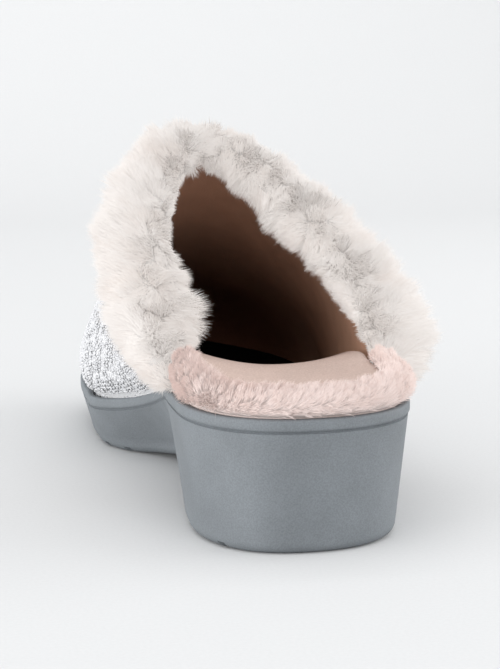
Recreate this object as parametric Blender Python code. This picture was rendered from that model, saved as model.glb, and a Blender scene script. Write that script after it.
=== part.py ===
"""Backless wedge slipper for the right foot, as a maker would put it together.

A moulded wedge sole carries a foam footbed with a thin sock on it. A soft plush roll closes the
heel, a hollow knit upper covers the forefoot and instep, and a deep fur cuff folds over its edge.

Frame: metres, +Z up, +Y from heel to toe, +X to the outer (lateral) side. The origin is on the floor,
under the middle of the heel. Below, lengths are in millimetres and y counts from the back of the heel.
"""

import math

import bmesh
import bpy
import numpy as np

MM = 0.001

# Driving dimensions of the last and of the sole's outline, at the outer edge of the lip
LENGTH = 242.0
HEEL_WIDEST_Y = 36.0
HEEL_BACK_X = -2.0
TOE_TIP_X = -9.0
HEEL_REST_Y = 30.0
TOE_START_Y = {"medial": 170.0, "lateral": 160.0}
ROUND_OF_HEEL = 2.25
ROUND_OF_TOE = {"medial": 2.35, "lateral": 2.15}

# Half-widths of the outline between the heel's and the toe's round ends
OUTLINE_TABLE = {
    "y":       [36, 55, 75, 95, 112, 128, 138, 148, 158, 170],
    "medial":  [35.0, 34.2, 31.6, 29.3, 29.4, 32.6, 37.3, 41.6, 43.9, 43.4],
    "lateral": [35.0, 35.6, 36.0, 36.8, 38.4, 40.8, 42.5, 44.1, 45.4, 46.2],
}

# Heights along the sole: top of the lip, underside, and surface of the sock at its middle and edges
HEIGHT_TABLE = {
    "y":      [0, 40, 60, 80, 100, 118, 135, 150, 170, 196, 220, 242],
    "lip":    [40.0, 40.0, 39.0, 35.9, 31.1, 26.0, 21.5, 19.1, 18.2, 18.6, 20.2, 23.4],
    "sock":   [45.4, 45.6, 46.4, 43.2, 37.7, 31.2, 26.1, 23.5, 22.4, 22.6, 24.2, 27.2],
    "rise_medial":  [2.0, 2.4, 3.8, 4.4, 4.2, 3.4, 2.0, 1.2, 0.8, 0.8, 0.8, 0.8],
    "rise_lateral": [2.0, 2.0, 1.6, 1.4, 1.2, 1.0, 0.8, 0.8, 0.8, 0.8, 0.8, 0.8],
}
UNDERSIDE_TABLE = {
    "y": [0, 56, 66, 80, 95, 110, 122, 134, 144, 188, 205, 224, 242],
    "z": [0, 0, 0.6, 3.0, 4.8, 4.4, 2.8, 0.9, 0, 0, 1.2, 4.6, 9.5],
}

# How far the side wall leans in from lip to floor, and the rounding of its bottom edge
WALL_TABLE = {
    "y":       [0, 14, 40, 70, 100, 125, 145, 165, 200, 242],
    "medial":  [2.6, 3.5, 3.7, 6.2, 10.6, 10.2, 6.2, 3.6, 3.3, 3.5],
    "lateral": [2.6, 3.3, 3.2, 4.0, 5.4, 5.8, 5.0, 4.0, 3.5, 3.5],
    "edge":    [3.2, 3.4, 3.6, 4.0, 4.0, 3.8, 3.4, 3.2, 3.4, 4.0],
}

# Moulded lip of the sole, with the groove that runs round below it
LIP_HEIGHT = 3.4
LIP_WIDTH = 2.2
LIP_PROUD = 0.5
LIP_ROUND = 0.9
GROOVE_DEPTH = 0.9
GROOVE_HEIGHT = 0.9
CUP_DEPTH = 4.0

# Tread: channels across the forefoot and the heel
TREAD_DEPTH = 1.8
TREAD_WIDTH = 2.6
TREAD_FOREFOOT_Y = [146.0 + 10.5 * n for n in range(7)]
TREAD_HEEL_Y = [16.0, 44.0]

# Upper: wall, and one row for each section from the collar to the toe
GAP = 0.3
LOOSE_GAP = 0.5
SEAT_GAP = 0.7
UPPER_WALL = 2.2
UPPER_OVER_LIP = 1.0
UPPER_TABLE = {
    "base_y":        [48, 70, 93, 116, 138, 159, 179, 198, 215, 229, 239.35],
    "ridge_y":       [117, 125, 136, 151, 167, 183, 198, 212, 224, 233.5, 239.35],
    "ridge_z":       [109.5, 104.0, 96.0, 85.4, 74.8, 65.2, 57.5, 51.3, 45.7, 38.6, 20.0],
    "ridge_x":       [-10, -10, -10, -10, -10, -10, -10, -9.6, -9.2, -9, -9],
    "belly_medial":  [6.0, 7.5, 9.0, 8.8, 6.8, 5.2, 4.2, 3.2, 2.4, 1.4, 0],
    "belly_lateral": [3.5, 4.0, 4.2, 4.2, 4.0, 3.8, 3.4, 3.0, 2.4, 1.4, 0],
    "round_medial":  [2.35, 2.4, 2.45, 2.55, 2.6, 2.55, 2.45, 2.35, 2.25, 2.2, 2.1],
    "round_lateral": [1.9, 1.9, 1.95, 2.0, 2.05, 2.1, 2.1, 2.1, 2.1, 2.1, 2.1],
}
UPPER_ROWS = 25
UPPER_COLUMNS = 34

# Fur cuff: one row for each place along it, 0 at its inner end and 1 at its outer end
FUR_TABLE = {
    "along": [0.03, 0.060, 0.078, 0.11, 0.16, 0.225, 0.29, 0.38, 0.50, 0.60, 0.72, 0.84, 0.90, 0.94, 0.97],
    "outer": [10.0, 12.5, 13.0, 14.5, 16.5, 17.5, 17.5, 15.5, 10.5, 9.5, 11.0, 16.5, 19.5, 19.5, 16.0],
    "inner": [1.2, 1.2, 7.5, 10.5, 10.5, 4.5, 5.5, 7.0, 9.0, 10.5, 11.0, 9.5, 7.0, 1.2, 1.2],
    "skirt": [28.0, 30.0, 30.0, 31.0, 31.0, 30.0, 28.0, 26.0, 23.0, 24.0, 26.0, 28.0, 28.0, 28.0, 26.0],
    "tuck":  [1.6, 1.6, 8.0, 9.0, 9.0, 8.0, 8.0, 8.0, 8.0, 8.0, 9.0, 8.5, 7.0, 1.6, 1.6],
    "back":  [1.4, 8.0, 10.5, 12.5, 11.0, 9.0, 9.0, 9.0, 8.5, 9.0, 9.5, 11.0, 10.5, 8.0, 1.4],
}
FUR_COLUMNS = 2 * UPPER_COLUMNS
FUR_START = 2 / FUR_COLUMNS
FUR_OVER_LIP = 0.9
LOCK_LENGTH = 2.4
LOCK_SEED = 7

# Plush roll round the heel
PLUSH_TABLE = {
    "y":   [0, 15, 30, 45],
    "top": [49.4, 50.1, 52.2, 56.0],
}
PLUSH_END_Y = 45.0
PLUSH_WIDTH = 7.8
PLUSH_PROUD = 3.4
PLUSH_OVER_SOCK = 2.0
FUR_LINING = 1.2

# Footbed and sock
SOCK_THICKNESS = 1.2
FOOTBED_INSET_HEEL = LIP_WIDTH + GAP + PLUSH_WIDTH + GAP
FOOTBED_INSET_FORE = LIP_WIDTH + SEAT_GAP + UPPER_WALL + SEAT_GAP
FOOTBED_INSET_TOE = FOOTBED_INSET_FORE + 4.0

COLOURS = {
    "sole_grey": ((0.270, 0.300, 0.325), 0.72),
    "footbed_foam": ((0.560, 0.500, 0.460), 0.90),
    "sock_beige": ((0.590, 0.470, 0.430), 0.85),
    "plush_rose": ((0.680, 0.550, 0.510), 0.95),
    "knit_grey": ((0.700, 0.700, 0.720), 0.90),
    "fur_cream": ((0.830, 0.800, 0.760), 0.95),
}


def read(table, key, column, at):
    """A smooth curve through a table's rows: the value of a column where the key column is at."""
    keys = np.asarray(table[key], float)
    values = np.asarray(table[column], float)
    slopes = np.gradient(values, keys)
    slopes[0] = (values[1] - values[0]) / (keys[1] - keys[0])
    slopes[-1] = (values[-1] - values[-2]) / (keys[-1] - keys[-2])
    n = int(np.clip(np.searchsorted(keys, at) - 1, 0, len(keys) - 2))
    span = keys[n + 1] - keys[n]
    s = (at - keys[n]) / span
    if s < 0:
        return values[n] + slopes[n] * span * s
    if s > 1:
        return values[n + 1] + slopes[n + 1] * span * (s - 1)
    return (
        values[n] * (1 + 2 * s) * (1 - s) ** 2
        + slopes[n] * span * s * (1 - s) ** 2
        + values[n + 1] * s * s * (3 - 2 * s)
        + slopes[n + 1] * span * s * s * (s - 1)
    )


def level(table, column, y):
    return float(read(table, "y", column, min(max(y, table["y"][0]), table["y"][-1])))


def eased(value, start, end):
    """Goes smoothly from 0 at start to 1 at end."""
    share = min(max((value - start) / (end - start), 0.0), 1.0)
    return share * share * (3 - 2 * share)


def row_of(column, row):
    """A column of the upper's table at a row number that need not be whole."""
    values = UPPER_TABLE[column]
    return float(read({"row": range(len(values)), "value": values}, "row", "value", row))


# The outline runs along each side with g from 0 at the back of the heel to 1 at the tip of the toe
G_HEEL = 0.20
G_TOE = 0.64


def side_point(g, side):
    """(x, y) of the lip's outer edge on one side."""
    sign = -1.0 if side == "medial" else 1.0
    toe_y = TOE_START_Y[side]
    if g < G_HEEL:
        turn = math.pi / 2 * g / G_HEEL
        power = 2.0 / ROUND_OF_HEEL
        reach = sign * level(OUTLINE_TABLE, side, HEEL_WIDEST_Y) - HEEL_BACK_X
        return (
            HEEL_BACK_X + reach * math.sin(turn) ** power,
            HEEL_WIDEST_Y * (1 - max(math.cos(turn), 0.0) ** power),
        )
    if g <= G_TOE:
        y = HEEL_WIDEST_Y + (toe_y - HEEL_WIDEST_Y) * (g - G_HEEL) / (G_TOE - G_HEEL)
        return sign * level(OUTLINE_TABLE, side, y), y
    turn = math.pi / 2 * min((g - G_TOE) / (1 - G_TOE), 1.0)
    power = 2.0 / ROUND_OF_TOE[side]
    reach = sign * level(OUTLINE_TABLE, side, toe_y) - TOE_TIP_X
    return (
        TOE_TIP_X + reach * max(math.cos(turn), 0.0) ** power,
        toe_y + (LENGTH - toe_y) * math.sin(turn) ** power,
    )


def outline(g, side, inset=0.0):
    """The outline moved in by inset, square to itself."""
    step = 0.002
    x, y = side_point(g, side)
    if g < step:
        return np.array([x, y + inset])
    if g > 1 - step:
        return np.array([x, y - inset])
    before = np.array(side_point(g - step, side))
    after = np.array(side_point(g + step, side))
    along = (after - before) / np.linalg.norm(after - before)
    sign = 1.0 if side == "medial" else -1.0
    return np.array([x + sign * along[1] * inset, y - sign * along[0] * inset])


def g_at(y, side):
    """Where along a side the outline passes y."""
    low, high = 0.0, 1.0
    for _ in range(40):
        middle = (low + high) / 2
        if side_point(middle, side)[1] < y:
            low = middle
        else:
            high = middle
    return (low + high) / 2


def stations(heel, middle, toe):
    """Values of g from heel to toe, with so many steps on each stretch."""
    return (
        [G_HEEL * n / heel for n in range(heel)]
        + [G_HEEL + (G_TOE - G_HEEL) * n / middle for n in range(middle)]
        + [G_TOE + (1 - G_TOE) * n / toe for n in range(toe + 1)]
    )


def ring(steps, inset, height):
    """Points all round: up the medial side from the heel, and back down the lateral side.

    inset and height are functions of the side and of the outline's own y there."""
    points = []
    order = [(g, "medial") for g in steps] + [(g, "lateral") for g in steps[-2:0:-1]]
    for g, side in order:
        y = side_point(g, side)[1]
        x, at_y = outline(g, side, inset(side, y))
        points.append((x, at_y, height(side, y)))
    return points


def ladder(points, count, across, surface):
    """Closes a ring with rungs from each medial point to its lateral partner.

    It returns the new inner points and the faces, numbered from the ring's first point."""
    half = count // 2
    inner = []
    rungs = []
    for n in range(1, half):
        left, right = points[n], points[count - n]
        rung = [n]
        for k in range(1, across):
            s = k / across
            x = left[0] + (right[0] - left[0]) * s
            y = left[1] + (right[1] - left[1]) * s
            z = surface(left, right, s)
            rung.append(count + len(inner))
            inner.append((x, y, z))
        rungs.append(rung + [count - n])
    faces = [(0, a, b) for a, b in zip(rungs[0], rungs[0][1:])]
    for low, high in zip(rungs, rungs[1:]):
        for k in range(across):
            faces.append((low[k], high[k], high[k + 1], low[k + 1]))
    faces += [(half, b, a) for a, b in zip(rungs[-1], rungs[-1][1:])]
    return inner, faces


def stack(rings, across, bottom, top):
    """One closed solid from rings, lowest first, closed by a ladder at both ends."""
    count = len(rings[0])
    points = [p for each in rings for p in each]
    faces = []
    for n in range(len(rings) - 1):
        for k in range(count):
            after = (k + 1) % count
            faces.append((n * count + k, n * count + after, (n + 1) * count + after, (n + 1) * count + k))
    for number, surface in ((0, bottom), (len(rings) - 1, top)):
        inner, cap = ladder(rings[number], count, across, surface)
        start = len(points) - count
        first = number * count
        points += inner
        faces += [tuple(first + i if i < count else start + i for i in face) for face in cap]
    return points, faces


def place(name, points, faces, colour, crease=35.0):
    """Makes the object in the part's frame, closed and facing out, with its own material."""
    mesh = bpy.data.meshes.new(name)
    moved = [(x * MM, (y - HEEL_REST_Y) * MM, z * MM) for x, y, z in points]
    mesh.from_pydata(moved, [], faces)
    shape = bmesh.new()
    shape.from_mesh(mesh)
    bmesh.ops.recalc_face_normals(shape, faces=shape.faces)
    shape.to_mesh(mesh)
    shape.free()
    mesh.shade_smooth()
    mesh.set_sharp_from_angle(angle=math.radians(crease))
    made = bpy.data.objects.new(name, mesh)
    bpy.context.scene.collection.objects.link(made)
    rgb, roughness = COLOURS[colour]
    material = bpy.data.materials.new(colour)
    material.use_nodes = True
    shader = material.node_tree.nodes["Principled BSDF"]
    shader.inputs["Base Color"].default_value = (*rgb, 1.0)
    shader.inputs["Roughness"].default_value = roughness
    shader.inputs["Metallic"].default_value = 0.0
    mesh.materials.append(material)
    return made


def underside_z(y):
    """The underside is dead flat where it stands, and never below the floor."""
    return max(level(UNDERSIDE_TABLE, "z", y), 0.0)


def lip_z(y):
    return level(HEIGHT_TABLE, "lip", y)


def cup_z(y):
    return lip_z(y) - CUP_DEPTH


def sock_z(left, right, s, lift=0.0):
    """The sock's surface: low in the middle, and higher at the inner arch than outside."""
    y = left[1] + (right[1] - left[1]) * s
    across = 2 * s - 1
    rise = level(HEIGHT_TABLE, "rise_medial" if across < 0 else "rise_lateral", y)
    return level(HEIGHT_TABLE, "sock", y) + rise * across * across + lift


SOLE_STEPS = stations(9, 18, 13)
BED_STEPS = stations(6, 11, 8)


def make_outsole():
    """The moulded wedge: underside with arch and toe spring, leaning wall, groove, lip and cup."""

    def lean(side, y, share):
        return level(WALL_TABLE, side, y) * share + LIP_PROUD

    def wall_ring(share):
        # share runs from 0 at the groove to 1 at the start of the bottom rounding
        def height(side, y):
            low = underside_z(y) + level(WALL_TABLE, "edge", y)
            high = lip_z(y) - LIP_HEIGHT - GROOVE_HEIGHT
            return high + (low - high) * share

        return ring(SOLE_STEPS, lambda side, y: lean(side, y, share), height)

    def edge_ring(angle):
        # angle runs from 0 on the wall to 90 degrees on the floor
        def inset(side, y):
            edge = level(WALL_TABLE, "edge", y)
            return lean(side, y, 1.0) + edge * (1 - math.cos(angle))

        def height(side, y):
            edge = level(WALL_TABLE, "edge", y)
            return underside_z(y) + edge * (1 - math.sin(angle))

        return ring(SOLE_STEPS, inset, height)

    def lip_ring(inset, below):
        return ring(SOLE_STEPS, lambda side, y: inset, lambda side, y: lip_z(y) - below)

    rings = [edge_ring(math.radians(a)) for a in (90, 60, 30, 0)]
    rings += [wall_ring(share) for share in (0.66, 0.33, 0.0)]
    rings += [
        lip_ring(GROOVE_DEPTH + LIP_PROUD, LIP_HEIGHT + 0.6 * GROOVE_HEIGHT),
        lip_ring(0.15, LIP_HEIGHT),
        lip_ring(0.0, LIP_ROUND),
        lip_ring(0.3, 0.25),
        lip_ring(LIP_ROUND, 0.0),
        lip_ring(LIP_WIDTH, 0.0),
        lip_ring(LIP_WIDTH, CUP_DEPTH),
    ]

    def underside(left, right, s):
        return left[2] + (right[2] - left[2]) * s

    points, faces = stack(rings, 4, underside, underside)
    sole = place("outsole", points, faces, "sole_grey")
    cut_tread(sole)
    return sole


def cut_tread(sole):
    """Cuts the tread channels with one cutter of many bars."""
    shape = bmesh.new()
    for y in TREAD_FOREFOOT_Y + TREAD_HEEL_Y:
        bar = bmesh.ops.create_cube(shape, size=1.0)["verts"]
        bmesh.ops.scale(shape, vec=(140 * MM, TREAD_WIDTH * MM, 2 * TREAD_DEPTH * MM), verts=bar)
        lift = underside_z(y)
        bmesh.ops.translate(shape, vec=(0, (y - HEEL_REST_Y) * MM, lift * MM), verts=bar)
    mesh = bpy.data.meshes.new("tread_cutter")
    shape.to_mesh(mesh)
    shape.free()
    cutter = bpy.data.objects.new("tread_cutter", mesh)
    bpy.context.scene.collection.objects.link(cutter)
    cutter.hide_render = True
    cutter.display_type = "WIRE"
    cut = sole.modifiers.new("tread", "BOOLEAN")
    cut.operation = "DIFFERENCE"
    cut.object = cutter


def bed_inset(side, y):
    """Footbed and sock are narrower where the plush roll goes round them."""
    fore = eased(y, PLUSH_END_Y + 2, PLUSH_END_Y + 20)
    toe = eased(y, 196, 232)
    inset = FOOTBED_INSET_HEEL + (FOOTBED_INSET_FORE - FOOTBED_INSET_HEEL) * fore
    return inset + (FOOTBED_INSET_TOE - FOOTBED_INSET_FORE) * toe


def make_layer(name, colour, under, over, across=6):
    """A thin full-length layer between two heights, each a function of the rung and the place on it."""

    def edge(height):
        plain = ring(BED_STEPS, bed_inset, lambda side, y: 0.0)
        count = len(plain)
        made = []
        for n, (x, y, _) in enumerate(plain):
            partner = plain[(count - n) % count]
            medial, lateral = (plain[n], partner) if n <= count // 2 else (partner, plain[n])
            ends = n in (0, count // 2)
            place_on_rung = 0.5 if ends else (0.0 if n < count // 2 else 1.0)
            made.append((x, y, height(medial, lateral, place_on_rung)))
        return made

    points, faces = stack([edge(under), edge(over)], across, under, over)
    return place(name, points, faces, colour)


def make_footbed():
    """Foam footbed, from the floor of the sole's cup to the underside of the sock."""

    def under(left, right, s):
        return cup_z(left[1] + (right[1] - left[1]) * s) + GAP

    def over(left, right, s):
        return sock_z(left, right, s, -SOCK_THICKNESS - GAP)

    return make_layer("footbed", "footbed_foam", under, over)


def make_sock():
    """The smooth sock that lies on the footbed."""

    def under(left, right, s):
        return sock_z(left, right, s, -SOCK_THICKNESS)

    return make_layer("insole_sock", "sock_beige", under, sock_z)


def make_heel_plush():
    """The plush-covered roll: a horseshoe round the heel, tucked inside the upper at both ends."""
    last = g_at(PLUSH_END_Y, "medial")
    steps = [last * n / 13 for n in range(14)]
    path = [(g, "medial") for g in reversed(steps)] + [(g, "lateral") for g in steps[1:]]
    sections = []
    for number, (g, side) in enumerate(path):
        y = side_point(g, side)[1]
        outer = LIP_WIDTH + GAP
        inner = LIP_WIDTH + GAP + PLUSH_WIDTH
        proud = PLUSH_PROUD
        low, lip, top = cup_z(y) + GAP, lip_z(y), level(PLUSH_TABLE, "top", y)
        rise = level(HEIGHT_TABLE, "rise_" + side, y)
        sock = level(HEIGHT_TABLE, "sock", y) + rise + LOOSE_GAP
        over = inner + PLUSH_OVER_SOCK
        width = over - outer
        profile = [
            (outer, low),
            (outer, lip + GAP),
            (outer - 0.80 * proud, lip + GAP + 0.25),
            (outer - proud, lip + 0.30 * (top - lip)),
            (outer - 0.95 * proud, lip + 0.60 * (top - lip)),
            (outer - 0.35 * proud + 0.10 * width, top - 1.4),
            (outer + 0.44 * width, top),
            (outer + 0.80 * width, top - 0.9),
            (over, sock + 0.45 * (top - sock)),
            (over - 0.4, sock + 0.8),
            (inner, sock),
            (inner, low),
        ]
        sections.append([(*outline(g, side, inset), z) for inset, z in profile])
    return place("heel_plush", *tube(sections), "plush_rose")


def tube(sections):
    """One closed solid from sections that each go once round, with both ends filled."""
    count = len(sections[0])
    points = [tuple(p) for section in sections for p in section]
    faces = []
    for n in range(len(sections) - 1):
        for k in range(count):
            after = (k + 1) % count
            faces.append((n * count + k, n * count + after, (n + 1) * count + after, (n + 1) * count + k))
    first_end = tuple(range(count))
    far_end = tuple(range((len(sections) - 1) * count, len(sections) * count))
    return points, faces + [first_end, far_end]


def base_point(row, side, out):
    """Foot of the upper's outer face, moved out by out, at a row of its table."""
    g = min(read_base(row, side), 1.0)
    x, y = outline(g, side, LIP_WIDTH + SEAT_GAP - out)
    return np.array([x, y, cup_z(side_point(g, side)[1]) + GAP])


BASE_ROWS = {
    side: [g_at(y, side) if y < 238 else 1.0 for y in UPPER_TABLE["base_y"]]
    for side in ("medial", "lateral")
}


def read_base(row, side):
    values = BASE_ROWS[side]
    return float(read({"row": range(len(values)), "value": values}, "row", "value", row))


def ridge_point(row, out):
    """Top of a section, moved out square to the ridge line."""
    step = 0.05
    here = np.array([row_of("ridge_y", row), row_of("ridge_z", row)])
    before = np.array([row_of("ridge_y", row - step), row_of("ridge_z", row - step)])
    after = np.array([row_of("ridge_y", row + step), row_of("ridge_z", row + step)])
    along = (after - before) / np.linalg.norm(after - before)
    y, z = here + out * np.array([-along[1], along[0]])
    return np.array([row_of("ridge_x", row), y, z])


def shell(row, along, out=0.0):
    """A point of the upper's form. row counts sections from the collar, along goes over the foot

    from 0 at the inner ankle to 1 at the outer, and out moves the whole form outwards. The first and
    last columns stand upright in the sole's cup."""
    side = "medial" if along < 0.5 else "lateral"
    power = 2.0 / row_of("round_" + side, row)
    base, ridge = base_point(row, side, out), ridge_point(row, out)
    hidden = (CUP_DEPTH + UPPER_OVER_LIP) / max(ridge[2] - base[2], 12.0)
    low = math.asin(hidden ** (1 / power))
    share = 1 - abs(2 * along - 1)
    foot = 2 / UPPER_COLUMNS
    if share < foot:
        turn = low * share / foot
    else:
        turn = low + (math.pi / 2 - low) * (share - foot) / (1 - foot)
    rise = math.sin(turn) ** power
    reach = max(math.cos(turn), 0.0) ** power
    sign = -1.0 if side == "medial" else 1.0
    above = max(rise - hidden, 0.0) / (1 - hidden)
    swell = 0.7 - (0.22 * eased(row, 2.0, 4.5) if side == "medial" else 0.0)
    x = ridge[0] + (base[0] - ridge[0]) * reach
    x += sign * row_of("belly_" + side, row) * math.sin(math.pi * above ** swell)
    y = base[1] + (ridge[1] - base[1]) * above
    z = base[2] + (ridge[2] - base[2]) * rise
    return np.array([x, y, z])


def make_upper():
    """The hollow upper: outer and inner faces of one wall, open at the collar and underneath."""
    last = len(UPPER_TABLE["base_y"]) - 1
    rows = [last * n / UPPER_ROWS for n in range(UPPER_ROWS)]
    columns = [n / UPPER_COLUMNS for n in range(UPPER_COLUMNS + 1)]
    points = []
    for out in (0.0, -UPPER_WALL):
        for row in rows:
            points += [tuple(shell(row, along, out)) for along in columns]
        points.append(tuple(shell(last, 0.5, out)))
    width = len(columns)
    sheet = width * len(rows) + 1
    faces = []
    for start in (0, sheet):
        for n in range(len(rows) - 1):
            for k in range(width - 1):
                a = start + n * width + k
                faces.append((a, a + 1, a + width + 1, a + width))
        end = start + (len(rows) - 1) * width
        faces += [(end + k, end + k + 1, start + sheet - 1) for k in range(width - 1)]
    rim = list(range(width))
    outer_side = [n * width + width - 1 for n in range(1, len(rows))]
    inner_side = [n * width for n in range(len(rows) - 1, 0, -1)]
    loop = rim + outer_side + [sheet - 1] + inner_side
    faces += [(a, b, b + sheet, a + sheet) for a, b in zip(loop, loop[1:] + loop[:1])]
    return place("upper", points, faces, "knit_grey", 60.0)


def at_distance(along, distance, out):
    """A point of the upper's form so many millimetres from the collar's edge."""
    step = 0.1
    rate = np.linalg.norm(shell(step, along, out) - shell(0.0, along, out)) / step
    return shell(distance / rate, along, out)


def make_fur_collar():
    """The fur cuff: a thick fold over the collar's edge, with a slot for the wall and locks fused on."""
    draw = np.random.default_rng(LOCK_SEED)
    places = [n / FUR_COLUMNS for n in range(2, FUR_COLUMNS - 1)]
    sections = []
    for number, along in enumerate(places):
        outer, inner, skirt, tuck, back = (
            float(read(FUR_TABLE, "along", key, along))
            for key in ("outer", "inner", "skirt", "tuck", "back")
        )
        calm = eased(min(along - FUR_START, 1 - FUR_START - along), -0.01, 0.07)
        end = 0.75 + 0.25 * calm
        outer, inner, tuck = outer * end, max(inner, FUR_LINING), max(tuck, FUR_LINING)
        skin = UPPER_WALL + LOOSE_GAP + 0.2
        # distance from the edge, distance out of the wall, and whether a lock may stand there
        profile = [
            (skirt, LOOSE_GAP + 1.0, True),
            (skirt * 0.86, outer * 0.62, True),
            (skirt * 0.60, outer * 0.92, True),
            (skirt * 0.32, outer, True),
            (skirt * 0.05, outer * 0.96, True),
            (-back * 0.62, outer * 0.62, True),
            (-back, 0.0, True),
            (-back * 0.85, -skin - inner * 0.50, True),
            (-back * 0.25, -skin - inner * 0.92, True),
            (tuck * 0.45, -skin - inner, True),
            (tuck * 0.95, -skin - inner * 0.60, True),
            (tuck, -skin, False),
            (tuck * 0.5, -skin, False),
            (-LOOSE_GAP, -skin, False),
            (-LOOSE_GAP, LOOSE_GAP, False),
            (skirt * 0.25, LOOSE_GAP, False),
            (skirt * 0.50, LOOSE_GAP, False),
            (skirt * 0.75, LOOSE_GAP, False),
            (skirt, LOOSE_GAP, False),
        ]
        section = []
        for k, (distance, out, free) in enumerate(profile):
            if free:
                wave = draw.uniform(0.4, 1.0) * (1.0 if (k + number) % 2 else -0.45)
                thick = outer if out > 0 else inner
                grow = LOCK_LENGTH * wave * calm * min(1.0, (thick - FUR_LINING) / 7.0)
                out += grow * (1.0 if out > 0 else -1.0) * (0.3 if k == 0 else 1.0)
                distance += grow * (0.6 if k < 5 else -0.5)
            x, y, z = at_distance(along, distance, out)
            floor = lip_z(y) + FUR_OVER_LIP if out > LOOSE_GAP else 0.0
            section.append((x, y, max(z, floor)))
        sections.append(section)
    return place("fur_collar", *tube(sections), "fur_cream")


def main():
    for old in list(bpy.data.objects):
        bpy.data.objects.remove(old)
    make_outsole()
    make_footbed()
    make_sock()
    make_heel_plush()
    make_upper()
    make_fur_collar()


main()
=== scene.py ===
"""Looks of a backless wedge slipper with a fur cuff: the sole unit, the cushioned insole, the plush
heel roll, the knit upper with its lining, the fur, and the studio.

It is laid out as a Blender add-on and is run as a script. Lengths in the shape functions are in
millimetres and y counts from the back of the heel, as a last's sizes do. Meshes are in metres, in the
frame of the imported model: +Y to the toe, +X to the outer side of this right shoe, +Z up.
"""

import bisect
import math

import bmesh
import bpy
import numpy as np
from bpy.props import FloatProperty, FloatVectorProperty, PointerProperty
from mathutils import Matrix, Vector


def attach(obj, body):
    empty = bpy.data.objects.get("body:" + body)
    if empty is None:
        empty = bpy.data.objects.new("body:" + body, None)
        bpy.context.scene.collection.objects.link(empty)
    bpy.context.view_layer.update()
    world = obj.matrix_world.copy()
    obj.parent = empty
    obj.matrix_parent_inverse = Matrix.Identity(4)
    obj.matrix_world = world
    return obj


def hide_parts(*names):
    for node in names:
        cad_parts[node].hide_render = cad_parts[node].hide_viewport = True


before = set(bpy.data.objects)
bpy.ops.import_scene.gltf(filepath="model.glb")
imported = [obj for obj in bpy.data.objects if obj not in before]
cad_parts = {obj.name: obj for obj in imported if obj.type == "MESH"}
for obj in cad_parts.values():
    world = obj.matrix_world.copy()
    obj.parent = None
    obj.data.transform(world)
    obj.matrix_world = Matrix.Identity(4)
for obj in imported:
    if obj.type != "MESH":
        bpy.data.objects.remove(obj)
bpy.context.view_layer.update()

bl_info = {
    "name": "Fur Cuff Slipper",
    "version": (1, 0, 0),
    "blender": (4, 5, 0),
    "location": "3D View > Sidebar > Slipper",
    "description": "Makes the visible pieces of a backless wedge slipper with a fur cuff",
    "category": "Object",
}

MM = 0.001
HEEL_REST_Y = 30.0

# The last and the sole's outline, at the outer edge of the lip
LENGTH = 242.0
HEEL_WIDEST_Y = 36.0
HEEL_BACK_X = -2.0
TOE_TIP_X = -9.0
TOE_START_Y = {"medial": 170.0, "lateral": 160.0}
ROUND_OF_HEEL = 2.25
ROUND_OF_TOE = {"medial": 2.35, "lateral": 2.15}

OUTLINE_TABLE = {
    "y":       [36, 55, 75, 95, 112, 128, 138, 148, 158, 170],
    "medial":  [35.0, 34.2, 31.6, 29.3, 29.4, 32.6, 37.3, 41.6, 43.9, 43.4],
    "lateral": [35.0, 35.6, 36.0, 36.8, 38.4, 40.8, 42.5, 44.1, 45.4, 46.2],
}
HEIGHT_TABLE = {
    "y":      [0, 40, 60, 80, 100, 118, 135, 150, 170, 196, 220, 242],
    "lip":    [40.0, 40.0, 39.0, 35.9, 31.1, 26.0, 21.5, 19.1, 18.2, 18.6, 20.2, 23.4],
    "sock":   [45.4, 45.6, 46.4, 43.2, 37.7, 31.2, 26.1, 23.5, 22.4, 22.6, 24.2, 27.2],
    "rise_medial":  [2.0, 2.4, 3.8, 4.4, 4.2, 3.4, 2.0, 1.2, 0.8, 0.8, 0.8, 0.8],
    "rise_lateral": [2.0, 2.0, 1.6, 1.4, 1.2, 1.0, 0.8, 0.8, 0.8, 0.8, 0.8, 0.8],
}
UNDERSIDE_TABLE = {
    "y": [0, 56, 66, 80, 95, 110, 122, 134, 144, 188, 205, 224, 242],
    "z": [0, 0, 0.6, 3.0, 4.8, 4.4, 2.8, 0.9, 0, 0, 1.2, 4.6, 9.5],
}
WALL_TABLE = {
    "y":       [0, 14, 40, 70, 100, 125, 145, 165, 200, 242],
    "medial":  [2.6, 3.5, 3.7, 6.2, 10.6, 10.2, 6.2, 3.6, 3.3, 3.5],
    "lateral": [2.6, 3.3, 3.2, 4.0, 5.4, 5.8, 5.0, 4.0, 3.5, 3.5],
    "edge":    [3.2, 3.4, 3.6, 4.0, 4.0, 3.8, 3.4, 3.2, 3.4, 4.0],
}
UPPER_TABLE = {
    "row":           list(range(11)),
    "base_y":        [48, 70, 93, 116, 138, 159, 179, 198, 215, 229, 239.35],
    "ridge_y":       [117, 125, 136, 151, 167, 183, 198, 212, 224, 233.5, 239.35],
    "ridge_z":       [109.5, 104.0, 96.0, 85.4, 74.8, 65.2, 57.5, 51.3, 45.7, 38.6, 20.0],
    "ridge_x":       [-10, -10, -10, -10, -10, -10, -10, -9.6, -9.2, -9, -9],
    "belly_medial":  [6.0, 7.5, 9.0, 8.8, 6.8, 5.2, 4.2, 3.2, 2.4, 1.4, 0],
    "belly_lateral": [3.5, 4.0, 4.2, 4.2, 4.0, 3.8, 3.4, 3.0, 2.4, 1.4, 0],
    "round_medial":  [2.35, 2.4, 2.45, 2.55, 2.6, 2.55, 2.45, 2.35, 2.25, 2.2, 2.1],
    "round_lateral": [1.9, 1.9, 1.95, 2.0, 2.05, 2.1, 2.1, 2.1, 2.1, 2.1, 2.1],
}
PLUSH_TABLE = {
    "y":   [0, 15, 30, 45],
    "top": [49.4, 50.1, 52.2, 56.0],
}
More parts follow.
